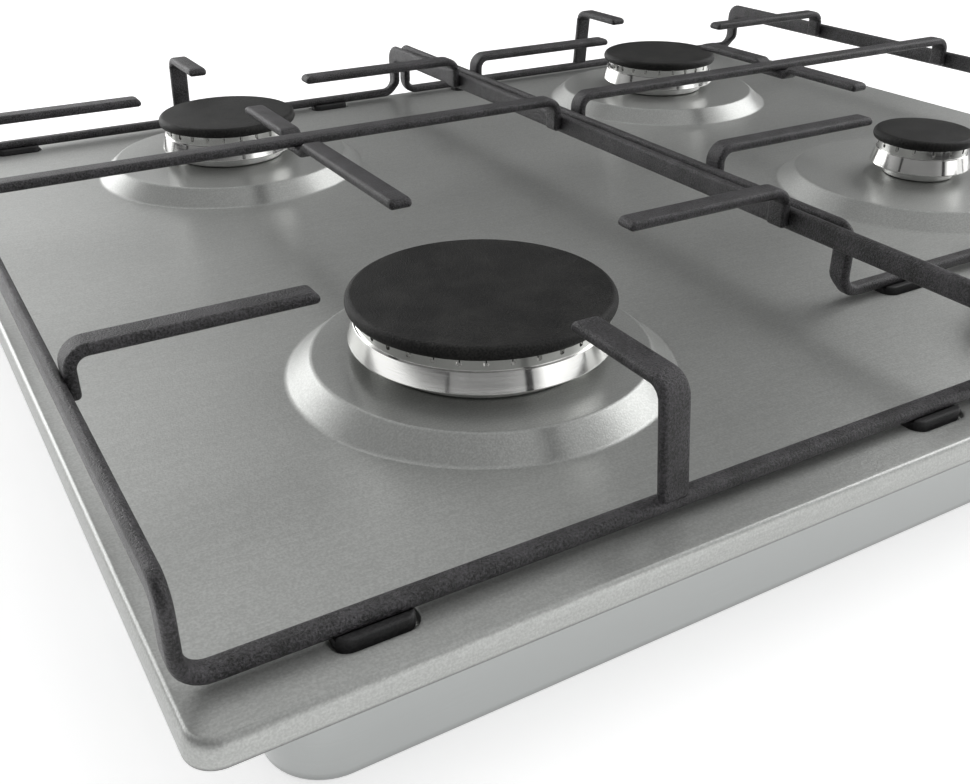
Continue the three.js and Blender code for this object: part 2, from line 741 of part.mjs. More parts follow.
/** Cast cup: hangs in the deck's hole by its flange and holds the jet in its boss. */
function makeCup(burner) {
  const flange = cupFlangeRadius(burner);
  const body = deckHoleRadius(burner) - LOOSE_GAP;
  const chamber = body - CUP_WALL;
  const flangeBottom = PLATEAU_HEIGHT + SEAT_GAP;
  const floorTop = PLATEAU_HEIGHT - CUP_DEPTH;
  const floorBottom = floorTop - CUP_FLOOR;
  const bossBottom = floorBottom - CUP_BOSS_HEIGHT;
  const bore = JET_THREAD_RADIUS + SEAT_GAP;
  const boreBottom = floorTop - JET_THREAD_LENGTH - 2 * SEAT_GAP;
  return revolve([
    [0, bossBottom],
    [CUP_BOSS_RADIUS, bossBottom],
    [CUP_BOSS_RADIUS, floorBottom],
    [body, floorBottom],
    [body, flangeBottom],
    [flange, flangeBottom],
    [flange, cupTop],
    [chamber, cupTop],
    [chamber, floorTop],
    [bore, floorTop],
    [bore, boreBottom],
    [0, boreBottom],
  ], CUP_SIDES, burnerPlace(burner));
}

/** Brass jet screwed into the cup's boss. */
function makeJet(burner) {
  const seat = PLATEAU_HEIGHT - CUP_DEPTH + SEAT_GAP;
  const hexTop = seat + JET_HEX_HEIGHT;
  const thread = cylinder(
    JET_THREAD_RADIUS, deckTop + seat - JET_THREAD_LENGTH, deckTop + seat + CUT_OVERSHOOT,
    SMALL_SIDES, burnerPlace(burner),
  );
  const head = revolve([
    [0, seat],
    [JET_HEX_RADIUS, seat],
    [JET_HEX_RADIUS, hexTop],
    [JET_TIP_RADIUS, hexTop],
    [JET_TIP_RADIUS / 2, hexTop + JET_TIP_HEIGHT],
    [0, hexTop + JET_TIP_HEIGHT],
  ], HEX_SIDES, burnerPlace(burner));
  return unite([thread, head]);
}

/** Flame ring: skirt, step and crown cut by the gas ports, with the mixing throat below. */
function makeFlameRing(burner) {
  const crown = burner.capRadius - CAP_OVERHANG;
  const skirtFoot = crown + RING_SKIRT_FLARE;
  const inner = crown - RING_WALL;
  const throatOuter = burner.throat + THROAT_WALL;
  const webTop = ringSeat + RING_WEB;
  const seatEdge = cupFlangeRadius(burner) + RING_STEP;
  const ring = revolveRing([
    [burner.throat, ringSeat - THROAT_DROP],
    [throatOuter, ringSeat - THROAT_DROP],
    [throatOuter, ringSeat],
    [seatEdge, ringSeat],
    [seatEdge, skirtBottom],
    [skirtFoot, skirtBottom],
    [crown + RING_STEP, skirtTop],
    [crown, skirtTop],
    [crown, crownTop],
    [inner, crownTop],
    [inner, webTop],
    [burner.throat, webTop],
  ], burner.ports, burnerPlace(burner));
  const ports = Array.from({ length: burner.ports }, (_, i) => {
    const geometry = new THREE.BoxGeometry(
      RING_WALL + 2 * CUT_OVERSHOOT, PORT_WIDTH, PORT_DEPTH + CUT_OVERSHOOT,
    );
    geometry.translate(inner + RING_WALL / 2, 0, (CUT_OVERSHOOT - PORT_DEPTH) / 2);
    geometry.rotateZ((2 * Math.PI * (i + 0.5)) / burner.ports - Math.PI / 2);
    const place = burnerPlace(burner, crownTop);
    geometry.translate(place.x, place.y, place.z);
    return toSolid(geometry);
  });
  return cut(ring, ports);
}

/** Enamelled cap with a round edge and a spigot that centres it in the flame ring. */
function makeCap(burner) {
  const radius = burner.capRadius;
  const spigotOuter = radius - CAP_OVERHANG - RING_WALL - LOOSE_GAP;
  const spigotInner = spigotOuter - CAP_SPIGOT_WALL;
  const top = capSeat + CAP_THICKNESS;
  return revolve([
    [0, capSeat],
    [spigotInner, capSeat],
    [spigotInner, capSeat - CAP_SPIGOT_HEIGHT],
    [spigotOuter, capSeat - CAP_SPIGOT_HEIGHT],
    [spigotOuter, capSeat],
    [radius - CAP_EDGE_ROUND / 2, capSeat],
    ...roundArc([radius - CAP_EDGE_ROUND, top - CAP_EDGE_ROUND], CAP_EDGE_ROUND, -30, 90, ARC_STEPS + 1),
    [0, top + CAP_DOME],
  ], CAP_SIDES, burnerPlace(burner));
}

/** Ceramic spark plug with its steel electrode, on a collar over the plateau. */
function makeSparkPlug(burner) {
  const seat = PLATEAU_HEIGHT + SEAT_GAP;
  const head = seat + PLUG_RISE;
  return revolve([
    [0, seat - PLUG_TAIL],
    [PLUG_RADIUS, seat - PLUG_TAIL],
    [PLUG_RADIUS, seat],
    [PLUG_COLLAR_RADIUS, seat],
    [PLUG_COLLAR_RADIUS, seat + PLUG_COLLAR_HEIGHT],
    [PLUG_RADIUS, seat + PLUG_COLLAR_HEIGHT],
    [PLUG_RADIUS, head],
    [ELECTRODE_RADIUS, head],
    [ELECTRODE_RADIUS, head + ELECTRODE_LENGTH],
    [0, head + ELECTRODE_LENGTH],
  ], SMALL_SIDES, sparkPlugPlace(burner));
}

// ---------------------------------------------------------------- pan supports

const rimTop = RIM_BOTTOM + RIM_HEIGHT;
const rimStubTop = RIM_BOTTOM + RIM_CORNER + LEG_LAP;

/** Side view of a side bar: high bar, bent down at both ends into legs that narrow to the rim. */
function sideBarOutline(front, rear) {
  const legEnd = rimStubTop - LEG_LAP;
  const barBottom = BAR_TOP - BAR_HEIGHT;
  const innerBend = BAR_BEND / 3;
  const taperTop = legEnd + LEG_TAPER;
  const innerFront = front + BAR_HEIGHT;
  const innerRear = rear - BAR_HEIGHT;
  return [
    [front, legEnd],
    [front + RIM_DEPTH, legEnd],
    [innerFront, taperTop],
    ...roundArc([innerFront + innerBend, barBottom - innerBend], innerBend, 180, 90, ARC_STEPS),
    ...roundArc([innerRear - innerBend, barBottom - innerBend], innerBend, 90, 0, ARC_STEPS),
    [innerRear, taperTop],
    [rear - RIM_DEPTH, legEnd],
    [rear, legEnd],
    ...roundArc([rear - BAR_BEND, BAR_TOP - BAR_BEND], BAR_BEND, 0, 90, BAR_BEND_STEPS),
    ...roundArc([front + BAR_BEND, BAR_TOP - BAR_BEND], BAR_BEND, 90, 180, BAR_BEND_STEPS),
  ];
}

/** Front view of a rim: low bar turned up at both ends under the side bars. */
function rimOutline(left, right) {
  const inner = BAR_THICKNESS;
  const fillet = RIM_CORNER - inner;
  return [
    [left, rimStubTop],
    ...roundArc([left + RIM_CORNER, RIM_BOTTOM + RIM_CORNER], RIM_CORNER, 180, 270, CORNER_STEPS),
    ...roundArc([right - RIM_CORNER, RIM_BOTTOM + RIM_CORNER], RIM_CORNER, 270, 360, CORNER_STEPS),
    [right, rimStubTop],
    [right - inner, rimStubTop],
    ...roundArc([right - RIM_CORNER, rimTop + fillet], fillet, 360, 270, ARC_STEPS),
    ...roundArc([left + RIM_CORNER, rimTop + fillet], fillet, 270, 180, ARC_STEPS),
    [left + inner, rimStubTop],
  ];
}

const raised = (outline) => outline.map(([along, height]) => [along, deckTop + height]);
const fingerMiddle = FINGER_TOP - FINGER_THICKNESS / 2;

/** Finger along X, welded to the inner face of a side bar and bent over to its tip. */
function fingerAlongX(barFace, tip, row) {
  const legMiddle = barFace + Math.sign(tip - barFace) * (FINGER_THICKNESS / 2 - JOGGLE_OVERLAP);
  const corners = [[legMiddle, FINGER_LEG_BOTTOM], [legMiddle, fingerMiddle], [tip, fingerMiddle]];
  const forwards = tip > barFace;
  const outline = forwards
    ? bentStrip(corners, FINGER_THICKNESS, FINGER_BEND, { end: true })
    : bentStrip(corners.reverse(), FINGER_THICKNESS, FINGER_BEND, { start: true });
  const placed = raised(outline).map(([x, z]) => [deckLeft + x, z]);
  return plateAcrossY(placed, FINGER_WIDTH, deckFront + row);
}

/** Finger along Y, standing on a rim with a leg that leans over the deck. */
function fingerAlongY(foot, tip, column) {
  const forwards = tip > foot;
  const lean = forwards ? FINGER_LEAN : -FINGER_LEAN;
  const corners = [
    [foot, rimTop - RIM_HEIGHT / 3],
    [foot + lean, fingerMiddle],
    [tip, fingerMiddle],
  ];
  const outline = forwards
    ? bentStrip(corners, FINGER_THICKNESS, FINGER_BEND, { end: true })
    : bentStrip(corners.reverse(), FINGER_THICKNESS, FINGER_BEND, { start: true });
  const placed = raised(outline).map(([y, z]) => [deckFront + y, z]);
  return plateAcrossX(placed, FINGER_WIDTH, deckLeft + column);
}

/** Cross bar with both ends bent down on the side bars. */
function crossBar(leftFace, rightFace) {
  const inset = FINGER_THICKNESS / 2 - JOGGLE_OVERLAP;
  const corners = [
    [leftFace + inset, FINGER_LEG_BOTTOM],
    [leftFace + inset, fingerMiddle],
    [rightFace - inset, fingerMiddle],
    [rightFace - inset, FINGER_LEG_BOTTOM],
  ];
  const outline = bentStrip(corners, FINGER_THICKNESS, FINGER_BEND, {});
  const placed = raised(outline).map(([x, z]) => [deckLeft + x, z]);
  return plateAcrossY(placed, FINGER_WIDTH, deckFront + crossBarRow);
}

/** Short bar between the two burners, set down where it passes under the cross bar. */
function joggledBar(nearTip, farTip, column) {
  const low = fingerMiddle - FINGER_THICKNESS + JOGGLE_OVERLAP;
  const corners = [
    [nearTip, fingerMiddle],
    [crossBarRow - JOGGLE_HALF - JOGGLE_RUN, fingerMiddle],
    [crossBarRow - JOGGLE_HALF, low],
    [crossBarRow + JOGGLE_HALF, low],
    [crossBarRow + JOGGLE_HALF + JOGGLE_RUN, fingerMiddle],
    [farTip, fingerMiddle],
  ];
  const outline = bentStrip(corners, FINGER_THICKNESS, FINGER_BEND / 2, { start: true, end: true });
  const placed = raised(outline).map(([y, z]) => [deckFront + y, z]);
  return plateAcrossX(placed, FINGER_WIDTH, deckLeft + column);
}

function makePanSupport({ left, right, front, column, frontRow, frontTips }) {
  const rear = supportRear;
  const half = BAR_THICKNESS / 2;
  const leftFace = left + BAR_THICKNESS;
  const rightFace = right - BAR_THICKNESS;
  const sideView = raised(sideBarOutline(front, rear)).map(([y, z]) => [deckFront + y, z]);
  const frontView = raised(rimOutline(left, right)).map(([x, z]) => [deckLeft + x, z]);
  return unite([
    plateAcrossX(sideView, BAR_THICKNESS, deckLeft + left + half),
    plateAcrossX(sideView, BAR_THICKNESS, deckLeft + right - half),
    plateAcrossY(frontView, RIM_DEPTH, deckFront + front + RIM_DEPTH / 2),
    plateAcrossY(frontView, RIM_DEPTH, deckFront + rear - RIM_DEPTH / 2),
    fingerAlongX(leftFace, column - frontTips, frontRow),
    fingerAlongX(rightFace, column + frontTips, frontRow),
    fingerAlongX(leftFace, column - TIP_CIRCLE_SMALL, REAR_ROW),
    fingerAlongX(rightFace, column + TIP_CIRCLE_SMALL, REAR_ROW),
    fingerAlongY(front + FINGER_SET_BACK, frontRow - frontTips, column),
    fingerAlongY(rear - FINGER_SET_BACK, REAR_ROW + TIP_CIRCLE_SMALL, column),
    crossBar(leftFace, rightFace),
    joggledBar(frontRow + frontTips, REAR_ROW - TIP_CIRCLE_SMALL, column),
  ]);
}

/** Pad clipped on the rim from below. */
function makeFoot(place) {
  const bottom = deckTop - DIMPLE_DEPTH + SEAT_GAP;
  const seat = deckTop + RIM_BOTTOM - SEAT_GAP;
  const top = deckTop + RIM_BOTTOM + FOOT_HOLD;
  const pad = loft([
    roundedLoop(FOOT_LENGTH, FOOT_DEPTH, FOOT_CORNER, bottom, place, FOOT_STEPS),
    roundedLoop(FOOT_LENGTH, FOOT_DEPTH, FOOT_CORNER, top, place, FOOT_STEPS),
  ]);
  const channelMiddle = place.y + FOOT_SHIFT;
  const channelHalf = RIM_DEPTH / 2 + SEAT_GAP;
  const channel = box(
    new THREE.Vector3(place.x - FOOT_LENGTH, channelMiddle - channelHalf, seat),
    new THREE.Vector3(place.x + FOOT_LENGTH, channelMiddle + channelHalf, top + CUT_OVERSHOOT),
  );
  return cut(pad, [channel]);
}

// ---------------------------------------------------------------- taps, knobs and gas line

const plugBottom = TAP_PLUG_TOP - TAP_PLUG_HEIGHT;
const tapBodyBottom = TAP_BODY_TOP - TAP_BODY_HEIGHT;
const tapFront = KNOB_ROW - TAP_BODY_DEPTH / 2;
const tapBack = KNOB_ROW + TAP_BODY_DEPTH / 2;
const tapOutletEnd = tapBack + TAP_OUTLET_LENGTH;

/** Radius of a faceted seat in which a plug of the given radius turns freely. */
const seatRadius = (radius) => (radius + SEAT_GAP) / Math.cos(Math.PI / TAP_SIDES);

/** Tap body with its tapered seat, open at the top, and the outlet to the burner pipe. */
function makeTapBody(i) {
  const place = knobPlace(i);
  const block = loft([tapBodyBottom, TAP_BODY_TOP].map((z) => roundedLoop(
    TAP_BODY_WIDTH, TAP_BODY_DEPTH, TAP_BODY_CORNER, deckTop + z, place, ARC_STEPS,
  )));
  const outlet = cylinderAlongY(
    TAP_OUTLET_RADIUS,
    place.clone().setY(place.y + TAP_BODY_DEPTH / 2 - CUT_OVERSHOOT).setZ(deckTop + PIPE_LEVEL),
    TAP_OUTLET_LENGTH + CUT_OVERSHOOT,
    SMALL_SIDES,
  );
  const seat = revolve([
    [0, plugBottom - SEAT_GAP],
    [seatRadius(TAP_PLUG_BOTTOM_RADIUS), plugBottom - SEAT_GAP],
    [seatRadius(TAP_PLUG_TOP_RADIUS), TAP_PLUG_TOP + SEAT_GAP],
    [seatRadius(TAP_PLUG_TOP_RADIUS), TAP_BODY_TOP + CUT_OVERSHOOT],
    [0, TAP_BODY_TOP + CUT_OVERSHOOT],
  ], TAP_SIDES, place);
  return cut(unite([block, outlet]), [seat]);
}

/** Tapered plug that meters the gas, with a bore in which the spindle slides. */
function makeTapPlug(i) {
  const bore = SPINDLE_RADIUS + SEAT_GAP;
  const boreBottom = TAP_PLUG_TOP - SPINDLE_REACH - PUSH_TRAVEL - CUT_OVERSHOOT;
  return revolve([
    [0, plugBottom],
    [TAP_PLUG_BOTTOM_RADIUS, plugBottom],
    [TAP_PLUG_TOP_RADIUS, TAP_PLUG_TOP],
    [bore, TAP_PLUG_TOP],
    [bore, boreBottom],
    [0, boreBottom],
  ], TAP_SIDES, knobPlace(i));
}

function makeSpindle(i) {
  const top = KNOB_LIFT + KNOB_BORE_DEPTH - SEAT_GAP;
  return cylinder(
    SPINDLE_RADIUS, deckTop + TAP_PLUG_TOP - SPINDLE_REACH, deckTop + top, SMALL_SIDES, knobPlace(i),
  );
}

/** Turned knob with a skirt, a broken top edge and a groove that points forwards when shut. */
function makeKnob(i) {
  const bottom = KNOB_LIFT;
  const top = KNOB_LIFT + KNOB_HEIGHT;
  const bore = SPINDLE_RADIUS + SEAT_GAP;
  const body = revolve([
    [0, bottom + KNOB_BORE_DEPTH],
    [bore, bottom + KNOB_BORE_DEPTH],
    [bore, bottom],
    [KNOB_RADIUS, bottom],
    [KNOB_RADIUS, bottom + KNOB_SKIRT],
    [KNOB_TOP_RADIUS + KNOB_EDGE, bottom + KNOB_SKIRT + KNOB_EDGE],
    [KNOB_TOP_RADIUS, top - KNOB_EDGE],
    [KNOB_TOP_RADIUS - KNOB_EDGE, top],
    [0, top],
  ], KNOB_SIDES, knobPlace(i));
  const place = knobPlace(i, top);
  const mark = box(
    new THREE.Vector3(place.x - KNOB_MARK_WIDTH / 2, place.y - KNOB_RADIUS, place.z - KNOB_MARK_DEPTH),
    new THREE.Vector3(
      place.x + KNOB_MARK_WIDTH / 2, place.y - KNOB_RADIUS + KNOB_MARK_LENGTH, place.z + CUT_OVERSHOOT,
    ),
  );
  return cut(body, [mark]);
}

/** Corners of the pipe from each tap to the boss under its burner. */
const pipeCorners = {
  front_left: (tap, burner) => [
    onDeck(tap, tapOutletEnd + SEAT_GAP, PIPE_LEVEL),
    onDeck(tap, burner.y, PIPE_LEVEL),
    onDeck(burner.x + CUP_BOSS_RADIUS + SEAT_GAP, burner.y, PIPE_LEVEL),
  ],
  rear_left: (tap, burner) => [
    onDeck(tap, tapOutletEnd + SEAT_GAP, PIPE_LEVEL),
    onDeck(tap, pipeCrossingRow, PIPE_LEVEL),
    onDeck(burner.x, pipeCrossingRow, PIPE_LEVEL),
    onDeck(burner.x, burner.y - CUP_BOSS_RADIUS - SEAT_GAP, PIPE_LEVEL),
  ],
};
pipeCorners.front_right = pipeCorners.front_left;
pipeCorners.rear_right = pipeCorners.front_left;

function makePipe(i) {
  const burner = BURNERS.find(({ name }) => name === KNOB_NAMES[i]);
  const tap = knobFirstX + i * KNOB_PITCH;
  return tube(pipeCorners[burner.name](tap, burner), PIPE_RADIUS, PIPE_BEND, PIPE_SIDES);
}

/** Rail in front of the taps, turned back along the right side to the inlet. */
function makeRail() {
  const row = tapFront - RAIL_RADIUS - SEAT_GAP;
  const inletBack = inletPlace.y - INLET_BODY_LENGTH - INLET_COLLAR_LENGTH - SEAT_GAP - deckFront;
  return tube([
    onDeck(railStartX, row, RAIL_LEVEL),
    onDeck(railSideX, row, RAIL_LEVEL),
    onDeck(railSideX, inletBack, RAIL_LEVEL),
  ], RAIL_RADIUS, RAIL_BEND, RAIL_SIDES);
}

/** Inlet fitting: collar inside the box and the connection thread through its back wall. */
function makeInlet() {
  const start = inletPlace.clone().setY(inletPlace.y - INLET_BODY_LENGTH - INLET_COLLAR_LENGTH);
  const collar = cylinderAlongY(INLET_COLLAR_RADIUS, start, INLET_COLLAR_LENGTH, HEX_SIDES);
  const thread = cylinderAlongY(
    INLET_RADIUS, start, INLET_COLLAR_LENGTH + INLET_BODY_LENGTH + INLET_THREAD_LENGTH - CUT_OVERSHOOT,
    CUP_SIDES,
  );
  return unite([collar, thread]);
}

/** Spark generator with its lead terminals on top and the mains socket at the back. */
function makeIgniter() {
  const middle = onDeck(igniterX, 0);
  const centre = { x: middle.x, y: igniterBack - IGNITER_DEPTH / 2 };
  const bottom = BOX_SHEET + SEAT_GAP;
  const top = bottom + IGNITER_HEIGHT;
  const body = loft([bottom, top].map(
    (z) => roundedLoop(IGNITER_WIDTH, IGNITER_DEPTH, IGNITER_CORNER, z, centre, ARC_STEPS),
  ));
  const terminals = Array.from({ length: TERMINAL_COUNT }, (_, i) => cylinder(
    TERMINAL_RADIUS, top - CUT_OVERSHOOT, top + TERMINAL_HEIGHT, SMALL_SIDES,
    { x: centre.x + (i - (TERMINAL_COUNT - 1) / 2) * TERMINAL_PITCH, y: centre.y },
  ));
  const socketMiddle = bottom + IGNITER_HEIGHT / 2;
  const socket = box(
    new THREE.Vector3(
      centre.x - SOCKET_WIDTH / 2, igniterBack - CUT_OVERSHOOT, socketMiddle - SOCKET_HEIGHT / 2,
    ),
    new THREE.Vector3(
      centre.x + SOCKET_WIDTH / 2, igniterBack + SOCKET_REACH, socketMiddle + SOCKET_HEIGHT / 2,
    ),
  );
  return unite([body, ...terminals, socket]);
}

// ---------------------------------------------------------------- assembly

const finishes = {
  brushedSteel: { color: 0xa9aaa6, roughness: 0.38, metalness: 1.0 },
  boxSteel: { color: 0xa4a8a4, roughness: 0.42, metalness: 1.0 },
  blackEnamel: { color: 0x353436, roughness: 0.5, metalness: 0.0 },
  grateEnamel: { color: 0x3b3a3d, roughness: 0.55, metalness: 0.0 },
  castAluminium: { color: 0xb9b8b2, roughness: 0.3, metalness: 1.0 },
  rubber: { color: 0x1c1c1d, roughness: 0.8, metalness: 0.0 },
  foam: { color: 0x2a2a2b, roughness: 0.95, metalness: 0.0 },
  brass: { color: 0xb08d4a, roughness: 0.35, metalness: 1.0 },
  ceramic: { color: 0xe6e2d8, roughness: 0.4, metalness: 0.0 },
  pipe: { color: 0x9fa3a6, roughness: 0.35, metalness: 1.0 },
  plastic: { color: 0x2b2b2d, roughness: 0.6, metalness: 0.0 },
  zincSteel: { color: 0xb0b2b5, roughness: 0.4, metalness: 1.0 },
};

const cooktop = new THREE.Group();

function addPart(name, solid, finish) {
  const mesh = new THREE.Mesh(toGeometry(solid), new THREE.MeshStandardMaterial(finishes[finish]));
  mesh.name = name;
  cooktop.add(mesh);
}

addPart('top_plate', makeDeck(), 'brushedSteel');
addPart('rim_seal', makeSeal(), 'foam');
addPart('burner_box', makeBox(), 'boxSteel');
for (const side of ['left', 'right']) {
  clampRows.forEach((row, i) => addPart(`fixing_clamp_${side}_${i + 1}`, makeClamp(side, row), 'zincSteel'));
}
for (const side of ['left', 'right']) {
  addPart(`pan_support_${side}`, makePanSupport(supports[side]), 'grateEnamel');
  for (const [corner, place] of Object.entries(footPlaces(side))) {
    addPart(`support_foot_${side}_${corner}`, makeFoot(place), 'rubber');
  }
}
for (const burner of BURNERS) {
  addPart(`burner_cup_${burner.name}`, makeCup(burner), 'castAluminium');
  addPart(`flame_ring_${burner.name}`, makeFlameRing(burner), 'castAluminium');
  addPart(`burner_cap_${burner.name}`, makeCap(burner), 'blackEnamel');
  addPart(`gas_jet_${burner.name}`, makeJet(burner), 'brass');
  addPart(`spark_plug_${burner.name}`, makeSparkPlug(burner), 'ceramic');
}
KNOB_NAMES.forEach((name, i) => {
  addPart(`tap_body_${name}`, makeTapBody(i), 'brass');
  addPart(`tap_plug_${name}`, makeTapPlug(i), 'brass');
  addPart(`tap_spindle_${name}`, makeSpindle(i), 'zincSteel');
  addPart(`knob_${name}`, makeKnob(i), 'brushedSteel');
  addPart(`gas_pipe_${name}`, makePipe(i), 'pipe');
});
addPart('gas_rail', makeRail(), 'pipe');
addPart('gas_inlet', makeInlet(), 'brass');
addPart('ignition_unit', makeIgniter(), 'plastic');

export default cooktop;
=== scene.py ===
"""Looks of the gas cooktop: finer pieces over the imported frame, their finishes, light and camera.

Lengths are written in millimetres from the left and front edges of the deck and from its face,
as in the part, and turned into the frame's metres when a mesh is made.
"""

import json
import math

import bmesh
import bpy
from mathutils import Matrix, Vector
from mathutils.geometry import delaunay_2d_cdt


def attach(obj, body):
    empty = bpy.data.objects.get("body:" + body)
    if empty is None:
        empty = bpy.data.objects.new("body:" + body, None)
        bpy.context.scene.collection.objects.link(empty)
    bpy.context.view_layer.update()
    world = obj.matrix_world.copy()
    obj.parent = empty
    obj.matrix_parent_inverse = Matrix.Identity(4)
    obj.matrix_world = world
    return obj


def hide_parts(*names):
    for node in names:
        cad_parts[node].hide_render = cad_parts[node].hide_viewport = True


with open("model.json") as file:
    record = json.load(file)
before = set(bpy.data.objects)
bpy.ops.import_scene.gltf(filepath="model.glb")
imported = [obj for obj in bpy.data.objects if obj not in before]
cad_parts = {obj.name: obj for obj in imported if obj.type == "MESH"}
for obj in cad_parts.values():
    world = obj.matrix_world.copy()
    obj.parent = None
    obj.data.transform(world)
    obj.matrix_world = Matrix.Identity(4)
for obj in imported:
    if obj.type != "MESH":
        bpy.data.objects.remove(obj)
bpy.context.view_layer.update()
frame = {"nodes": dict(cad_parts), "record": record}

# ---------------------------------------------------------------- sizes

DECK_WIDTH = 590
DECK_DEPTH = 500
DECK_SHEET = 1.0
DECK_CORNER = 8.6
DECK_ROLL = 2.4
DECK_ROLL_DROP = 5.5
DECK_LIP = 8.5
BOX_DEPTH = 47
PLATEAU_FOOT = 70.4
PLATEAU_TOP = 61.4
PLATEAU_HEIGHT = 7.6
BOX_INSET_X = 19.5
BOX_INSET_Y = 10.6
BOX_DRAFT = 6
BOX_CORNER = 24.3
BOX_ROUND = 1.8
BOX_TOP = -1.3
BOX_SHEET = 1.0
SEAT = 0.3

BURNERS = {
    "front_left": (147.5, 127, 48.2, 32, 13),
    "rear_left": (147.5, 400.7, 36.1, 24, 10),
    "rear_right": (442.5, 400.7, 36.1, 24, 10),
    "front_right": (442.5, 184, 24.9, 15, 5.5),
}
KNOBS = {
    "front_left": 355,
    "rear_left": 413,
    "front_right": 471,
    "rear_right": 529,
}
KNOB_ROW = 50
SPINDLE_HOLE = 5.5
PLUG_ANGLE = 60
PLUG_REACH = 6
INLET_X = 551
INLET_Z = -30
CAP_TOP = 30.0
CAP_EDGE = 2.8

BAR_THICKNESS = 4.1
BAR_HEIGHT = 9.4
BAR_TOP = 34.2
BAR_BEND = 9
RIM_BOTTOM = 1.7
RIM_TOP = 6.3
RIM_DEPTH = 6.4
RIM_CORNER = 10
SUPPORT_REAR = 494
FINGER_TOP = 43.6
FINGER_WIDTH = 10
FINGER_THICKNESS = 4.1
FINGER_BEND = 6
FINGER_LEG_BOTTOM = 26.2
FINGER_LEG_LEAN = 3.8
TIP_ROUND = 1.7
TIP_SLOPE = 3.4
TIP_DROP = 1.0
WELD = 0.3
WELD_IN_RIM = 1.5
CROSS_BAR_ROW = 292.5
CROSS_DIP = 9
CROSS_DIP_END = 14
SUPPORTS = {
    "left": dict(left=1.9, right=293.1, front=15.9, column=147.5, row=127, tips=61.3,
                 feet=(52.5, 256.6, 49.9, 243.1)),
    "right": dict(left=296.9, right=588.1, front=96.3, column=442.5, row=184, tips=45.4,
                  feet=(333.4, 537.5, 346.9, 540.1)),
}
REAR_ROW = 400.7
REAR_TIPS = 45.4
FOOT_NAMES = ("front_left", "front_right", "rear_left", "rear_right")
FOOT_LENGTH = 22
FOOT_WIDTH = 11
FOOT_CORNER = 3.5
FOOT_IN_FRONT = 2.7
FOOT_IN_REAR = 3.7


# ---------------------------------------------------------------- geometry helpers

def place(x, y, z):
    """Point in the frame's metres."""
    return Vector((
        (x - DECK_WIDTH / 2) / 1000, (y - DECK_DEPTH / 2) / 1000, (z + BOX_DEPTH) / 1000))


def mesh_object(name, points, faces):
    mesh = bpy.data.meshes.new(name)
    mesh.from_pydata([place(*p) for p in points], [], faces)
    work = bmesh.new()
    work.from_mesh(mesh)
    bmesh.ops.remove_doubles(work, verts=work.verts, dist=1e-6)
    bmesh.ops.recalc_face_normals(work, faces=work.faces)
    work.to_mesh(mesh)
    work.free()
    obj = bpy.data.objects.new(name, mesh)
    bpy.context.scene.collection.objects.link(obj)
    return obj


def bake(obj):
    """Replace the mesh by the result of its modifiers."""
    bpy.context.view_layer.update()
    graph = bpy.context.evaluated_depsgraph_get()
    mesh = bpy.data.meshes.new_from_object(obj.evaluated_get(graph))
    obj.modifiers.clear()
    obj.data = mesh


def cut(obj, *cutters):
    for cutter in cutters:
        modifier = obj.modifiers.new("cut", "BOOLEAN")
        modifier.operation = "DIFFERENCE"
        modifier.solver = "EXACT"
        modifier.object = cutter
    bake(obj)
    for cutter in cutters:
        bpy.data.objects.remove(cutter)


def settle(obj, body, slot, *nodes, sharp=38, weighted=True):
    """Shade a finished mesh and hand it over to its body, its finish and its CAD nodes."""
    obj.data.materials.append(MATERIALS[slot])
    obj.data.shade_smooth()
    obj.data.set_sharp_from_angle(angle=math.radians(sharp))
    if weighted:
        modifier = obj.modifiers.new("normals", "WEIGHTED_NORMAL")
        modifier.keep_sharp = True
    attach(obj, body)
    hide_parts(*nodes)


def loft(loops, closed=False):
    """Points and faces of a skin through loops with equal point counts."""
    count = len(loops[0])
    points = [p for loop in loops for p in loop]
    faces = []
    for k in range(len(loops) if closed else len(loops) - 1):
        a = k * count
        b = (k + 1) % len(loops) * count
        for i in range(count):
            j = (i + 1) % count
            faces.append((a + i, a + j, b + j, b + i))
    if not closed:
        faces.append(tuple(range(count)))
        faces.append(tuple(range(len(points) - count, len(points))))
    return points, faces


def arc(cx, cy, radius, start, end, steps):
    turns = [math.radians(start + (end - start) * i / steps) for i in range(steps + 1)]
    return [(cx + radius * math.cos(t), cy + radius * math.sin(t)) for t in turns]


def rounded_rectangle(width, depth, radius, steps=8, centre=(0, 0)):
    loop = []
    for sx, sy, start in ((1, -1, -90), (1, 1, 0), (-1, 1, 90), (-1, -1, 180)):
        cx = centre[0] + sx * (width / 2 - radius)
        cy = centre[1] + sy * (depth / 2 - radius)
        loop += arc(cx, cy, radius, start, start + 90, steps)
    return loop


def rounded(points, radii, steps=5):
    """Outline in two coordinates with its corners rounded; a radius of 0 keeps a corner sharp."""
    out = []
    count = len(points)
    for i, point in enumerate(points):
        radius = radii[i] if isinstance(radii, (list, tuple)) else radii
        here = Vector(point)
        before = Vector(points[i - 1]) - here
        after = Vector(points[(i + 1) % count]) - here
        if radius <= 0 or before.length < 1e-6 or after.length < 1e-6:
            out.append(tuple(here))
            continue
        turn = math.pi - before.angle(after)
        back = radius * math.tan(turn / 2)
        room = 0.49 * min(before.length, after.length)
        if back > room:
            radius *= room / back
            back = room
        if radius < 1e-4:
            out.append(tuple(here))
            continue
        start = here + before.normalized() * back
        end = here + after.normalized() * back
        middle = here + (before.normalized() + after.normalized()).normalized() * (
            radius / math.cos(turn / 2))
        a = start - middle
        b = end - middle
        for s in range(steps + 1):
            t = s / steps
            spoke = a.normalized()
            if a.angle(b) > 1e-4:
                spoke = spoke.slerp(b.normalized(), t)
            out.append(tuple(middle + spoke * radius))
    return out


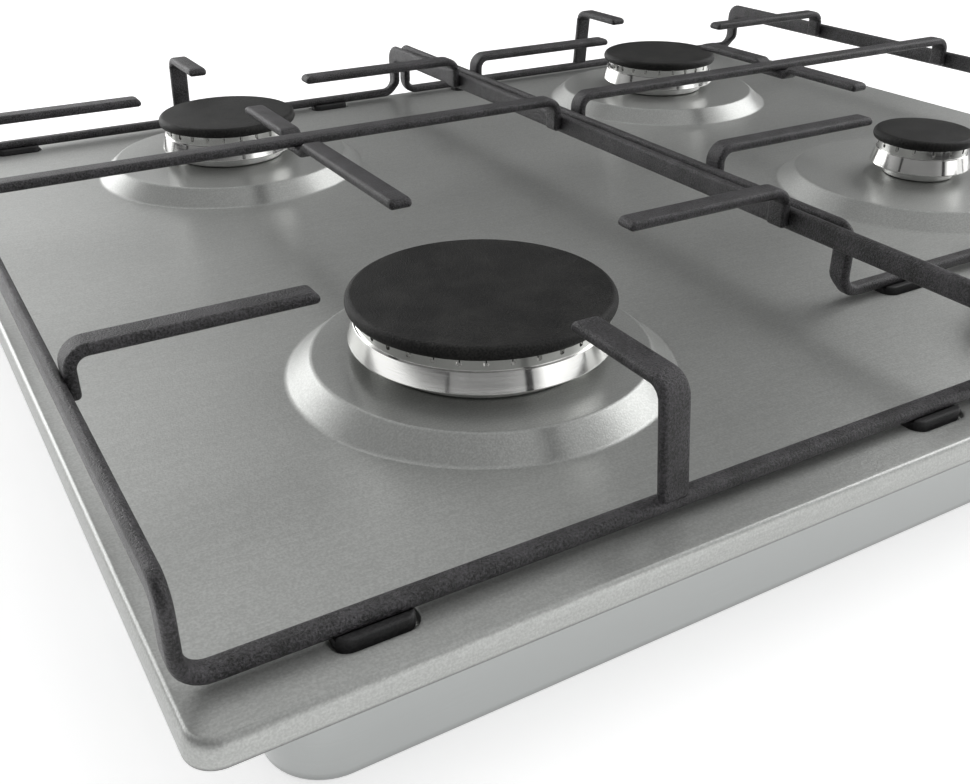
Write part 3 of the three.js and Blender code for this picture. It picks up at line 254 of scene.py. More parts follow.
def lathe(profile, centre, sides, ripple=None):
    """Skin turned round a vertical axis from an outline in (radius, height) that starts and ends
    on the axis or closes on itself."""
    points = []
    rows = []
    for r, z in profile:
        if r < 1e-6:
            rows.append([len(points)])
            points.append((centre[0], centre[1], z))
            continue
        row = []
        for i in range(sides):
            t = 2 * math.pi * i / sides
            reach = r + (ripple(r, z, t) if ripple else 0)
            row.append(len(points))
            points.append((centre[0] + reach * math.cos(t), centre[1] + reach * math.sin(t), z))
        rows.append(row)
    faces = []
    closed = len(rows[0]) > 1
    for k in range(len(rows) if closed else len(rows) - 1):
        a = rows[k]
        b = rows[(k + 1) % len(rows)]
        for i in range(sides):
            j = (i + 1) % sides
            if len(a) == 1 and len(b) == 1:
                continue
            if len(a) == 1:
                faces.append((a[0], b[j], b[i]))
            elif len(b) == 1:
                faces.append((a[i], a[j], b[0]))
            else:
                faces.append((a[i], a[j], b[j], b[i]))
    return points, faces


def flat_sheet(outer, holes, z):
    """Triangles of a flat area between an outer loop and the loops of its holes."""
    points = [Vector(p[:2]) for p in outer]
    edges = [(i, (i + 1) % len(outer)) for i in range(len(outer))]
    for hole in holes:
        start = len(points)
        points += [Vector(p[:2]) for p in hole]
        edges += [(start + i, start + (i + 1) % len(hole)) for i in range(len(hole))]
    found, _, faces, _, _, _ = delaunay_2d_cdt(points, edges, [], 0, 1e-5)

    def inside(x, y, loop):
        odd = False
        for i in range(len(loop)):
            x1, y1 = loop[i][:2]
            x2, y2 = loop[i - 1][:2]
            if (y1 > y) != (y2 > y) and x < (x2 - x1) * (y - y1) / (y2 - y1) + x1:
                odd = not odd
        return odd

    kept = []
    for face in faces:
        x = sum(found[i].x for i in face) / len(face)
        y = sum(found[i].y for i in face) / len(face)
        if inside(x, y, outer) and not any(inside(x, y, hole) for hole in holes):
            kept.append(tuple(face))
    return [(p.x, p.y, z) for p in found], kept


def skin(loops):
    """Open skin through loops, without end faces."""
    points, faces = loft(loops)
    return points, faces[:-2]


def together(*parts):
    points = []
    faces = []
    for some_points, some_faces in parts:
        start = len(points)
        points += some_points
        faces += [tuple(i + start for i in face) for face in some_faces]
    return points, faces


def circle(x, y, radius, sides, z=0):
    return [
        (x + radius * math.cos(2 * math.pi * i / sides),
         y + radius * math.sin(2 * math.pi * i / sides), z)
        for i in range(sides)
    ]


def at_height(loop, z):
    return [(p[0], p[1], z) for p in loop]


# ---------------------------------------------------------------- bars

def section(half_u, half_v, radius, steps=5):
    radius = min(radius, 0.98 * half_u, 0.98 * half_v)
    return rounded_rectangle(2 * half_u, 2 * half_v, radius, steps)


class Station:
    """One cross-section of a bar: its middle, two axes and the half sizes along them."""

    def __init__(self, middle, u, v, half_u, half_v):
        self.middle = Vector(middle)
        self.u = Vector(u)
        self.v = Vector(v)
        self.half_u = half_u
        self.half_v = half_v

    def loop(self, radius, inset=0.0):
        outline = section(self.half_u - inset, self.half_v - inset, max(radius - inset, 0.25))
        return [tuple(self.middle + self.u * a + self.v * b) for a, b in outline]


def frame_loops(left, right, front, rear, edge=2.0, steps=8):
    """Closed run of one bar: side bars, legs and the two rims of a pan support."""
    bar_bottom = BAR_TOP - BAR_HEIGHT
    half = BAR_THICKNESS / 2
    inner = BAR_BEND / 3
    fillet = RIM_CORNER - BAR_THICKNESS
    loops = []

    def side_bend(x, u, face, inward, start, end):
        outer_arc = arc(face + inward * BAR_BEND, BAR_TOP - BAR_BEND, BAR_BEND, start, end, steps)
        inner_arc = arc(
            face + inward * (BAR_HEIGHT + inner), bar_bottom - inner, inner, start, end, steps)
        for (oy, oz), (iy, iz) in zip(outer_arc, inner_arc):
            outward = Vector((0, oy - iy, oz - iz))
            loops.append(Station(
                (x, (oy + iy) / 2, (oz + iz) / 2), (u, 0, 0), outward.normalized(), half,
                outward.length / 2).loop(edge))

    def rim_bend(face, inward, y_face, y_in, start, end, down):
        outer_arc = arc(
            face + inward * RIM_CORNER, RIM_BOTTOM + RIM_CORNER, RIM_CORNER, start, end, steps)
        inner_arc = arc(
            face + inward * (BAR_THICKNESS + fillet), RIM_TOP + fillet, fillet, start, end, steps)
        for i, ((ox, oz), (ix, iz)) in enumerate(zip(outer_arc, inner_arc)):
            share = i / steps if down else 1 - i / steps
            ease = min(1.0, share * 2.2)
            depth = BAR_HEIGHT + (RIM_DEPTH - BAR_HEIGHT) * ease * ease * (3 - 2 * ease)
            up = Vector((ix - ox, 0, iz - oz))
            loops.append(Station(
                ((ox + ix) / 2, y_face + y_in * depth / 2, (oz + iz) / 2), up.normalized(),
                (0, -y_in, 0), up.length / 2, depth / 2).loop(edge))

    side_bend(left + half, 1, front, 1, 90, 180)
    rim_bend(left, 1, front, 1, 180, 270, True)
    rim_bend(right, -1, front, 1, 270, 360, False)
    side_bend(right - half, -1, front, 1, 180, 90)
    side_bend(right - half, -1, rear, -1, 90, 0)
    rim_bend(right, -1, rear, -1, 360, 270, True)
    rim_bend(left, 1, rear, -1, 270, 180, False)
    side_bend(left + half, 1, rear, -1, 0, 90)
    return loops


def fillet_path(corners, radius, steps=8):
    """Points with directions along a line in two coordinates whose inner corners are rounded."""
    corners = [Vector(c) for c in corners]
    path = [(corners[0], (corners[1] - corners[0]).normalized())]
    for before, corner, after in zip(corners, corners[1:], corners[2:]):
        into = (corner - before).normalized()
        out = (after - corner).normalized()
        turn = into.angle(out)
        start = corner - into * radius * math.tan(turn / 2)
        inward = (out - into * into.dot(out)).normalized()
        for s in range(steps + 1):
            t = turn * s / steps
            path.append((
                start + into * radius * math.sin(t) + inward * radius * (1 - math.cos(t)),
                into * math.cos(t) + inward * math.sin(t)))
    path.append((corners[-1], (corners[-1] - corners[-2]).normalized()))
    return path


def strip(corners, across, start_free, end_free, bend=FINGER_BEND, edge=1.7):
    """Flat strip bent along corners in the plane given by a function (a, z) -> (x, y, z)."""
    path = fillet_path(corners, bend)
    half_v = FINGER_THICKNESS / 2
    width = Vector(across(1, 0)) - Vector(across(0, 0))
    wide = Vector((abs(width.y), abs(width.x), 0))
    loops = []

    def add(point, direction, from_end, free):
        normal = Vector((-direction.y, direction.x))
        if normal.y < 0 and abs(normal.y) > 0.3:
            normal = -normal
        drop = 0.0
        if free and from_end < TIP_SLOPE:
            drop = TIP_DROP * (1 - from_end / TIP_SLOPE) ** 2
        inset = 0.0
        if from_end < TIP_ROUND:
            inset = TIP_ROUND - math.sqrt(max(0.0, TIP_ROUND ** 2 - (TIP_ROUND - from_end) ** 2))
        middle = point - normal * drop / 2
        along = Vector(across(normal.x, normal.y)) - Vector(across(0, 0))
        station = Station(
            across(middle.x, middle.y), wide, along, FINGER_WIDTH / 2, half_v - drop / 2)
        loops.append(station.loop(edge, inset))

    ends = (0.0, 0.06, 0.22, 0.5, 0.85, 1.25, TIP_ROUND)
    slopes = ends + (2.2, 2.8, TIP_SLOPE, 4.2)
    first, first_direction = path[0]
    for d in (slopes if start_free else ends + (2.2,)):
        add(first + first_direction * d, first_direction, d, start_free)
    for point, direction in path[1:-1]:
        add(point, direction, 100, False)
    last, last_direction = path[-1]
    for d in reversed(slopes if end_free else ends + (2.2,)):
        add(last - last_direction * d, last_direction, d, end_free)
    return loft(loops)


def pan_support(side, sizes):
    left, right, front = sizes["left"], sizes["right"], sizes["front"]
    column, row, tips = sizes["column"], sizes["row"], sizes["tips"]
    middle = FINGER_TOP - FINGER_THICKNESS / 2
    leg = BAR_THICKNESS + FINGER_THICKNESS / 2 - WELD
    low = middle - FINGER_THICKNESS + WELD
    rim = RIM_TOP - WELD_IN_RIM
    front_leg = front + BAR_THICKNESS / 2
    rear_leg = SUPPORT_REAR - BAR_THICKNESS / 2

    def along_x(y):
        return lambda a, z: (a, y, z)

    def along_y(a, z):
        return column, a, z

    parts = [loft(frame_loops(left, right, front, SUPPORT_REAR), closed=True)]
    for y, reach in ((row, tips), (REAR_ROW, REAR_TIPS)):
        for x, tip in ((left + leg, column - reach), (right - leg, column + reach)):
            parts.append(strip(
                [(x, FINGER_LEG_BOTTOM), (x, middle), (tip, middle)], along_x(y), False, True))
    parts.append(strip(
        [(left + leg, FINGER_LEG_BOTTOM), (left + leg, middle), (right - leg, middle),
         (right - leg, FINGER_LEG_BOTTOM)], along_x(CROSS_BAR_ROW), False, False))
    for y, lean, tip in ((front_leg, FINGER_LEG_LEAN, row - tips),
                         (rear_leg, -FINGER_LEG_LEAN, REAR_ROW + REAR_TIPS)):
        parts.append(strip(
            [(y, rim), (y + lean, middle), (tip, middle)], along_y, False, True))
    parts.append(strip(
        [(row + tips, middle), (CROSS_BAR_ROW - CROSS_DIP_END, middle),
         (CROSS_BAR_ROW - CROSS_DIP, low), (CROSS_BAR_ROW + CROSS_DIP, low),
         (CROSS_BAR_ROW + CROSS_DIP_END, middle), (REAR_ROW - REAR_TIPS, middle)],
        along_y, True, True, bend=3))
    return mesh_object(f"support_{side}_bars", *together(*parts))


def foot_places(sizes):
    front = sizes["front"] + FOOT_IN_FRONT
    rear = SUPPORT_REAR - FOOT_IN_REAR
    rows = (front, front, rear, rear)
    return {name: (x, y) for name, x, y in zip(FOOT_NAMES, sizes["feet"], rows)}


def pad_outline(x, y, grow, steps):
    """Outline of a foot, made larger all round."""
    return rounded_rectangle(
        FOOT_LENGTH + 2 * grow, FOOT_WIDTH + 2 * grow, FOOT_CORNER + grow, steps, (x, y))


def support_foot(name, x, y):
    """Pad in a dimple of the deck, with a channel for the rim of the support."""
    flank = (
        (-0.8, -2.2), (-0.25, -2.0), (0, -1.5), (0, 2.0), (-0.15, 2.4), (-0.45, 2.62), (-0.9, 2.7))
    pad = mesh_object(name, *loft([at_height(pad_outline(x, y, grow, 6), z) for grow, z in flank]))
    half = RIM_DEPTH / 2 + SEAT
    middle = y + 0.5
    cut(pad, block((x - 20, middle - half, RIM_BOTTOM - SEAT), (x + 20, middle + half, 5)))
    return pad


# ---------------------------------------------------------------- sheet pieces

ALL_FEET = [spot for sizes in SUPPORTS.values() for spot in foot_places(sizes).values()]


def deck():
    steps = 12

    def outline(inset):
        return [
            (p[0] + DECK_WIDTH / 2, p[1] + DECK_DEPTH / 2) for p in rounded_rectangle(
                DECK_WIDTH - 2 * inset, DECK_DEPTH - 2 * inset, DECK_CORNER - inset, steps)]

    parts = []
    margin = DECK_ROLL + 0.7
    edge = [(margin, 0.0), (DECK_ROLL, 0.0)]
    for a, up in arc(0, 0, 1, 90, 0, 12)[1:]:
        edge.append((DECK_ROLL * (1 - a), DECK_ROLL_DROP * (up - 1)))
    edge += [(0, -DECK_ROLL_DROP - 0.5), (0.0, -DECK_LIP + 0.9), (0.2, -DECK_LIP + 0.35),
             (0.65, -DECK_LIP)]
    parts.append(skin([at_height(outline(inset), z) for inset, z in edge]))
    holes = []
    for x, y, cap, _, _ in BURNERS.values():
        corners = [
            (PLATEAU_FOOT + 12, 0), (PLATEAU_FOOT, 0),
            (PLATEAU_TOP, PLATEAU_HEIGHT), (PLATEAU_TOP - 12, PLATEAU_HEIGHT)]
        outline_ring = rounded(corners, [0, 3.0, 2.6, 0], 7)[1:-1]
        foot = outline_ring[0][0] + 0.7
        brink = outline_ring[-1][0] - 0.7
        rings = [(foot, 0)] + outline_ring + [(brink, PLATEAU_HEIGHT)]
        parts.append(skin([circle(x, y, r, 128, z) for r, z in rings]))
        holes.append(circle(x, y, foot, 128))
        cup_hole = circle(x, y, cap - 11, 96)
        plug_hole = circle(*plug_place(x, y, cap), 3.5, 24)
        parts.append(flat_sheet(
            circle(x, y, brink, 128), [cup_hole, plug_hole], PLATEAU_HEIGHT))
    dish = (
        (2.6, 0), (1.9, 0), (1.45, -0.16), (1.2, -0.6), (1.05, -1.9), (0.7, -2.3), (0, -2.5),
        (-0.8, -2.5))
    for x, y in ALL_FEET:
        loops = [at_height(pad_outline(x, y, grow, 7), z) for grow, z in dish]
        parts.append(skin(loops))
        parts.append(flat_sheet(loops[-1], [], dish[-1][1]))
        holes.append(loops[0])
    for x in KNOBS.values():
        holes.append(circle(x, KNOB_ROW, SPINDLE_HOLE, 32))
    parts.append(flat_sheet(outline(margin), holes, 0))
    obj = mesh_object("deck_sheet", *together(*parts))
    thicken(obj, DECK_SHEET)
    unfold(obj)
    return obj


def thicken(obj, thickness):
    """Turn a skin into sheet metal that lies under it."""
    sheet = obj.modifiers.new("sheet", "SOLIDIFY")
    sheet.thickness = thickness / 1000
    sheet.offset = -1
    sheet.use_even_offset = True
    bake(obj)


def unfold(obj):
    """UV map whose first coordinate runs across the grain, over the rolled edges too."""
    mesh = obj.data
    layer = mesh.uv_layers.new(name="grain")
    deck_z = BOX_DEPTH / 1000
    for loop in mesh.loops:
        p = mesh.vertices[loop.vertex_index].co
        down = min(p.z - deck_z, 0.0)
        layer.data[loop.index].uv = (
            p.y + math.copysign(down, -p.y), p.x + math.copysign(down, -p.x))


def casing():
    """Drawn box under the deck: rounded walls with draft, floor with air slots, holes for the inlet
    and a socket.
    """
    def outline(z, extra=0.0):
        part_z = z + BOX_DEPTH
        draft = BOX_DRAFT * (1 - part_z / (BOX_TOP + BOX_DEPTH)) + extra
        return at_height([
            (p[0] + DECK_WIDTH / 2, p[1] + DECK_DEPTH / 2) for p in rounded_rectangle(
                DECK_WIDTH - 2 * (BOX_INSET_X + draft), DECK_DEPTH - 2 * (BOX_INSET_Y + draft),
                BOX_CORNER - draft, 14)], z)

    bottom = -BOX_DEPTH
    loops = [outline(bottom, BOX_ROUND + 0.8)]
    for a, z in arc(BOX_ROUND, bottom + BOX_ROUND, BOX_ROUND, 270, 180, 7):
        loops.append(outline(z, a))
    loops += [outline(bottom + BOX_ROUND + 0.8), outline(BOX_TOP - 0.6), outline(BOX_TOP)]
    vents = []
    for side in (-1, 1):
        for k in (-1, 0, 1):
            centre = (DECK_WIDTH / 2 + side * 120, DECK_DEPTH / 2 + 16 * k)
            vents.append(rounded_rectangle(36, 5, 2.4, 6, centre))
    parts = [skin(loops), flat_sheet(loops[0], vents, bottom)]
    obj = mesh_object("drawn_box", *together(*parts))
    thicken(obj, BOX_SHEET)
    inlet = tube_along_y([(0, 0), (11, 0), (11, 30), (0, 30)], (INLET_X, 460, INLET_Z), 40)
    socket = block((286.5, 472, -40.2), (313.5, 500, -25.2))
    cut(obj, mesh_object("cutter", *inlet), socket)
    return obj


def block(low, high):
    corners = [(low[0], low[1]), (high[0], low[1]), (high[0], high[1]), (low[0], high[1])]
    return mesh_object("cutter", *loft([at_height(corners, low[2]), at_height(corners, high[2])]))


def tube_along_y(profile, start, sides):
    """Turned form whose axis lies along Y; the outline is (radius, distance from the start)."""
    points, faces = lathe(profile, (0, 0), sides)
    return [(start[0] + x, start[1] + z, start[2] + y) for x, y, z in points], faces


# ---------------------------------------------------------------- burners

def plug_place(x, y, cap):
    turn = math.radians(PLUG_ANGLE)
    reach = cap + PLUG_REACH
    return x + reach * math.cos(turn), y + reach * math.sin(turn)


def flame_ring(name, x, y, cap, ports, throat):
    """Ring with its conical skirt and throat; each port is a slot with a wider mouth outside."""
    crown = cap - 3.2
    inner = crown - 6.5
    outline = [
        (throat, 0.1), (throat + 2.2, 0.1), (throat + 2.2, 13.1), (cap - 6.7, 13.1),
        (cap - 6.7, 12.8), (cap - 0.2, 12.8), (crown + 0.8, 20.3), (crown, 20.3),
        (crown, 24.9), (inner, 24.9), (inner, 15.5), (throat, 15.5)]
    radii = [0.3, 0.3, 0.6, 0.1, 0.1, 0.5, 0.35, 0.25, 0.45, 0.45, 1.0, 0.8]
    ring = mesh_object(name, *lathe(rounded(outline, radii, 4), (x, y), 192))
    slots = []
    mouths = []
    for i in range(ports):
        t = 2 * math.pi * (i + 0.5) / ports - math.pi / 2
        across = Vector((-math.sin(t), math.cos(t)))
        out = Vector((math.cos(t), math.sin(t)))
        for cutters, half, low, start in (
                (slots, 0.2, 22.6, inner - 1), (mouths, 0.9, 22.0, crown - 1.1)):
            outline = [(-half, 26), (-half, low + half / 2), (-half / 2, low), (half / 2, low),
                       (half, low + half / 2), (half, 26)]
            cutters.append(loft([[
                (x + out.x * reach + across.x * a, y + out.y * reach + across.y * a, z)
                for a, z in outline] for reach in (start, crown + 1)]))
    cut(ring, *(mesh_object("cutter", *together(*cutters)) for cutters in (slots, mouths)))
    return ring


def burner_cap(name, x, y, cap):
    spigot = cap - 10.2
    crown = 0.3
    outline = [(0, 25.2), (spigot - 2.2, 25.2), (spigot - 2.2, 22.6), (spigot, 22.6),
               (spigot, 25.2), (cap - 1.4, 25.2)]
    outline = rounded(outline, [0, 0.5, 0.4, 0.4, 0.4, 0], 3)
    outline += arc(cap - CAP_EDGE, CAP_TOP - CAP_EDGE, CAP_EDGE, -38, 82, 10)
    for share in (0.9, 0.7, 0.5, 0.3, 0.12):
        outline.append(((cap - CAP_EDGE) * share, CAP_TOP + crown * (1 - share * share)))
    outline.append((0, CAP_TOP + crown))
    return mesh_object(name, *lathe(outline, (x, y), 160))


def burner_cup(name, x, y, cap):
    flange = cap - 7.5
    body = cap - 11.5
    outline = [
        (0, -27), (9, -27), (9, -16.5), (body, -16.5), (body, 7.9), (flange, 7.9), (flange, 12.8),
        (body - 2.4, 12.8), (body - 2.4, -14), (4.3, -14), (4.3, -24.6), (0, -24.6)]
    radii = [0, 0.8, 0.8, 1.2, 0.4, 0.5, 0.9, 0.6, 1.6, 0.3, 0.2, 0]
    return mesh_object(name, *lathe(rounded(outline, radii, 4), (x, y), 128))


def spark_plug(name, x, y, cap):
    outline = [
        (0, -14.1), (3, -14.1), (3, 7.9), (4.6, 7.9), (4.6, 9.9), (3, 9.9), (3, 16.9),
        (0.9, 16.9), (0.9, 21.9), (0, 21.9)]
    radii = [0, 0.5, 0.1, 0.5, 0.6, 0.4, 0.8, 0.15, 0.35, 0]
    return mesh_object(name, *lathe(rounded(outline, radii, 4), plug_place(x, y, cap), 40))


def knob(name, x):
    y = KNOB_ROW
    outline = [
        (0, 17.2), (3.3, 17.2), (3.3, 4.2), (20, 4.2), (20, 7.2), (19.0, 8.7), (17.5, 24.7),
        (16.0, 26.2), (0, 26.2)]
    radii = [0, 0.3, 0.4, 0.4, 0.9, 0.8, 1.2, 1.0, 0]
    profile = rounded(outline, radii, 5)
    dense = []
    for a, b in zip(profile, profile[1:]):
        dense.append(a)
        if abs(a[1] - b[1]) > 6 and a[0] > 10:
            dense += [(a[0] + (b[0] - a[0]) * s, a[1] + (b[1] - a[1]) * s) for s in (0.08, 0.92)]
    dense.append(profile[-1])

    def flutes(r, z, t):
        """45 shallow grooves round the grip."""
        if r < 16.5 or z < 9.2 or z > 24.2:
            return 0
        return -0.35 * max(0.0, math.cos(45 * t)) ** 0.7

    body = mesh_object(name, *lathe(dense, (x, y), 360, flutes))
    cut(body, block((x - 1, y - 20.5, 25.4), (x + 1, y - 9, 28)))
    return body


def spindle(name, x):
    outline = [(0, -20), (3, -20), (3, 16.9), (0, 16.9)]
    body = mesh_object(name, *lathe(rounded(outline, [0, 0.5, 0.5, 0], 4), (x, KNOB_ROW), 32))
    cut(body, block((x - 4, KNOB_ROW + 1.8, 6), (x + 4, KNOB_ROW + 4, 20)))
    return body


def gas_inlet():
    """Connection thread with its collar, along Y through the back wall of the box."""
    outline = [(0, 0), (13, 0), (13, 8), (10.2, 8.6), (10.2, 17), (10.4, 18.5)]
    ridge = 18.5
    while ridge < 33.5:
        outline += [(10.4, ridge), (9.7, ridge + 0.55), (9.7, ridge + 0.75), (10.4, ridge + 1.3)]
        ridge += 1.35
    outline += [(9.9, 34.6), (9.6, 35), (6.5, 35), (6.0, 34.2), (6.0, 22), (0, 22)]
    return mesh_object("inlet_fitting", *tube_along_y(outline, (INLET_X, 463.4, INLET_Z), 60))


# ---------------------------------------------------------------- finishes

class Nodes:
    """Short way to write a node tree."""

    def __init__(self, tree):
        self.tree = tree

    def put(self, value, socket):
        if isinstance(value, bpy.types.NodeSocket):
            self.tree.links.new(value, socket)
        elif socket.type == "RGBA":
            socket.default_value = (*value, 1.0)
        else:
            socket.default_value = value

    def new(self, kind, inputs=None, **settings):
        node = self.tree.nodes.new(kind)
        for key, value in settings.items():
            setattr(node, key, value)
        for key, value in (inputs or {}).items():
            self.put(value, node.inputs[key])
        return node

    def add(self, kind, inputs=None, output=0, **settings):
        return self.new(kind, inputs, **settings).outputs[output]

    def math(self, operation, a, b=0.0):
        return self.add("ShaderNodeMath", {0: a, 1: b}, operation=operation)

    def ramp(self, value, low, high, start=0.0, end=1.0, **settings):
        return self.add("ShaderNodeMapRange", {
            "Value": value, "From Min": start, "From Max": end, "To Min": low, "To Max": high},
            **settings)


MATERIALS = {}


class Shade(Nodes):
    """Material with its shader and the coordinates of the object, kept by its name."""

    def __init__(self, name):
        self.material = bpy.data.materials.new(name)
        MATERIALS[name] = self.material
        self.material.use_nodes = True
        super().__init__(self.material.node_tree)
        self.bsdf = self.tree.nodes["Principled BSDF"]
        self.object = self.add("ShaderNodeTexCoord", output="Object")

    def stretched(self, x, y, z):
        return self.add(
            "ShaderNodeVectorMath", {0: self.object, 1: (x, y, z)}, operation="MULTIPLY")

    def coordinate(self, axis):
        return self.add("ShaderNodeSeparateXYZ", {0: self.object}, output=axis)

    def noise(self, vector, scale, detail=3.0, roughness=0.55):
        return self.add("ShaderNodeTexNoise", {
            "Vector": vector, "Scale": scale, "Detail": detail, "Roughness": roughness})

    def blend(self, factor, a, b):
        node = self.new("ShaderNodeMix", data_type="RGBA")
        for value, socket in ((factor, 0), (a, 6), (b, 7)):
            self.put(value, node.inputs[socket])
        return node.outputs[2]

    def bump(self, height, strength, distance, normal=None):
        inputs = {"Height": height, "Strength": strength, "Distance": distance}
        if normal is not None:
            inputs["Normal"] = normal
        return self.add("ShaderNodeBump", inputs)

    def fed(self, name):
        """What already feeds an input of the shader."""
        return self.bsdf.inputs[name].links[0].from_socket

    def feed(self, **sockets):
        for key, value in sockets.items():
            self.put(value, self.bsdf.inputs[key.replace("_", " ")])
        return self.material


def brushed_sheet(name, low, high, rough_low, rough_high, anisotropy, grain, metallic=0.85):
    """Stainless sheet with a fine grain; grain gives the pattern's scale along x, y and z."""
    s = Shade(name)
    fine = s.noise(s.stretched(*grain), 1.0, 4.0, 0.6)
    hair = s.noise(s.stretched(grain[0] * 4, grain[1] * 2.3, grain[2] * 2.3), 1.0, 2.0, 0.5)
    cloud = s.noise(s.stretched(6, 9, 9), 1.0, 2.0, 0.5)
    tone = s.math("ADD", s.math("MULTIPLY", fine, 0.6), s.math("MULTIPLY", cloud, 0.4))
    colour = s.blend(s.ramp(tone, 0, 1, 0.3, 0.7), low, high)
    rough = s.math(
        "ADD", s.ramp(hair, rough_low, rough_high, 0.25, 0.75), s.ramp(cloud, -0.02, 0.02))
    normal = s.bump(s.math("ADD", fine, s.math("MULTIPLY", hair, 0.5)), 0.12, 0.00002)
    s.feed(Base_Color=colour, Roughness=rough, Metallic=metallic, Anisotropic=anisotropy,
           Normal=normal)
    return s


def deck_steel():
    """Brushed deck sheet, grained over its pressed forms, with painted shade along the lip's bottom
    edge.
    """
    s = brushed_sheet(
        "deck_steel", (0.46, 0.47, 0.456), (0.59, 0.60, 0.583), 0.29, 0.38, 0.6,
        (110, 1500, 1500), 0.64)
    lip_z = BOX_DEPTH - DECK_LIP
    # Painted shade: the lowest 1.5 mm of the lip turns nearly black, standing in for the shade of
    # the gap above the box.
    edge = s.ramp(s.coordinate("Z"), 0.1, 1.0, (lip_z + 0.3) / 1000, (lip_z + 1.5) / 1000)
    grain = s.noise(s.object, 1500.0, 2.0, 0.5)
    specks = s.ramp(grain, 0.5, 0.0, 0.38, 0.62)
    colour = s.blend(specks, s.fed("Base Color"), (0.36, 0.365, 0.355))
    tangent = s.new("ShaderNodeTangent", direction_type="UV_MAP", uv_map="grain")
    return s.feed(
        Base_Color=s.blend(edge, (0.05, 0.05, 0.05), colour),
        Normal=s.bump(grain, 0.5, 0.00012, s.fed("Normal")), Tangent=tangent.outputs[0])


def box_steel():
    """Plain sheet of the box, with painted shade along its bottom edge."""
    s = brushed_sheet(
        "box_steel", (0.46, 0.475, 0.47), (0.49, 0.505, 0.50), 0.17, 0.22, 0.0, (20, 20, 2400))
    # Painted shade: the colour darkens over the lowest 4 mm, where the box meets the floor.
    painted_shade = s.ramp(s.coordinate("Z"), 0.55, 0.0, 0.0, 0.004)
    return s.feed(Base_Color=s.blend(painted_shade, s.fed("Base Color"), (0.1, 0.1, 0.1)))


def turned_metal(name, low, high, rough_low, rough_high, anisotropy=0.5):
    """Metal turned round a vertical axis, with fine rings of tool marks in height."""
    s = Shade(name)
    rings = s.noise(s.stretched(40, 40, 5200), 1.0, 3.0, 0.6)
    cloud = s.noise(s.object, 90.0, 3.0, 0.5)
    colour = s.blend(s.ramp(cloud, 0, 1, 0.3, 0.7), low, high)
    rough = s.math(
        "ADD", s.ramp(rings, rough_low, rough_high, 0.3, 0.7), s.ramp(cloud, -0.02, 0.02))
    tangent = s.new("ShaderNodeTangent", direction_type="RADIAL", axis="Z")
    return s.feed(
        Base_Color=colour, Roughness=rough, Metallic=1.0, Anisotropic=anisotropy,
        Anisotropic_Rotation=0.25, Normal=s.bump(rings, 0.1, 0.00002),
        Tangent=tangent.outputs[0])


def cast_metal(name, low, high, rough_low=0.35, rough_high=0.55, grain=2600.0, depth=0.00006):
    """Metal with a fine grain that runs in no direction."""
    s = Shade(name)
    fine = s.noise(s.object, grain, 3.0, 0.6)
    broad = s.noise(s.object, 160.0, 3.0, 0.5)
    colour = s.blend(s.ramp(broad, 0, 1, 0.3, 0.7), low, high)
    rough = s.ramp(fine, rough_low, rough_high, 0.3, 0.7)
    normal = s.bump(s.math("ADD", fine, s.math("MULTIPLY", broad, 0.6)), 0.35, depth)
    return s.feed(Base_Color=colour, Roughness=rough, Metallic=1.0, Normal=normal)


def coated(name, low, high, rough_low, rough_high, grain, depth, strength, specular, fleck=0.0):
    """Enamel, rubber or plastic: grained surface with a soft change of tone and pale flecks."""
    s = Shade(name)
    fine = s.noise(s.object, grain, 3.0, 0.65)
    broad = s.noise(s.object, grain / 18, 3.0, 0.5)
    tone = s.math("ADD", s.math("MULTIPLY", fine, 0.7), s.math("MULTIPLY", broad, 0.3))
    colour = s.blend(s.ramp(tone, 0, 1, 0.42, 0.66), low, high)
    if fleck:
        cells = s.add("ShaderNodeTexVoronoi", {"Vector": s.object, "Scale": grain * 1.3})
        spot = s.ramp(cells, 1.0, 0.0, 0.0, 0.32)
        colour = s.blend(s.math("MULTIPLY", spot, fleck), colour, (0.22, 0.21, 0.215))
    rough = s.ramp(fine, rough_low, rough_high, 0.3, 0.7)
    normal = s.bump(tone, strength, depth)
    return s.feed(Base_Color=colour, Roughness=rough, Metallic=0.0, Normal=normal,
                  Specular_IOR_Level=specular)


def foam():
    s = Shade("seal_foam")
    cells = s.add("ShaderNodeTexVoronoi", {"Vector": s.object, "Scale": 1500.0})
    broad = s.noise(s.object, 120.0)
    colour = s.blend(s.ramp(broad, 0, 1, 0.3, 0.7), (0.03, 0.03, 0.031), (0.055, 0.055, 0.057))
    rough = s.ramp(cells, 0.8, 0.95)
    return s.feed(Base_Color=colour, Roughness=rough, Normal=s.bump(cells, 0.6, 0.0002))


deck_steel()
box_steel()
coated("support_enamel", (0.0, 0.0, 0.0), (0.10, 0.095, 0.104),
       0.26, 0.5, 1400.0, 0.0008, 1.0, 0.5, 0.3)
coated("cap_enamel", (0.001, 0.001, 0.001), (0.033, 0.0325, 0.030),
       0.42, 0.62, 1500.0, 0.0006, 0.8, 0.26)
turned_metal("polished_aluminium", (0.76, 0.76, 0.74), (0.84, 0.84, 0.82),
             0.09, 0.17, 0.4)
cast_metal("cast_aluminium", (0.66, 0.66, 0.65), (0.76, 0.76, 0.74), 0.28, 0.42)
cast_metal("pipe_aluminium", (0.62, 0.63, 0.64), (0.74, 0.75, 0.76),
           0.25, 0.4, 1800.0, 0.00003)
cast_metal("tap_alloy", (0.5, 0.49, 0.47), (0.62, 0.61, 0.58))
cast_metal("rail_steel", (0.5, 0.51, 0.52), (0.6, 0.61, 0.62),
           0.25, 0.4, 1500.0, 0.00003)
turned_metal("jet_brass", (0.62, 0.46, 0.2), (0.72, 0.55, 0.28), 0.18, 0.3)
cast_metal("zinc_steel", (0.55, 0.56, 0.6), (0.68, 0.69, 0.7),
           0.3, 0.45, 900.0, 0.00003)
coated("knob_plastic", (0.30, 0.30, 0.295), (0.36, 0.36, 0.355),
       0.3, 0.4, 3500.0, 0.00003, 0.3, 0.5)
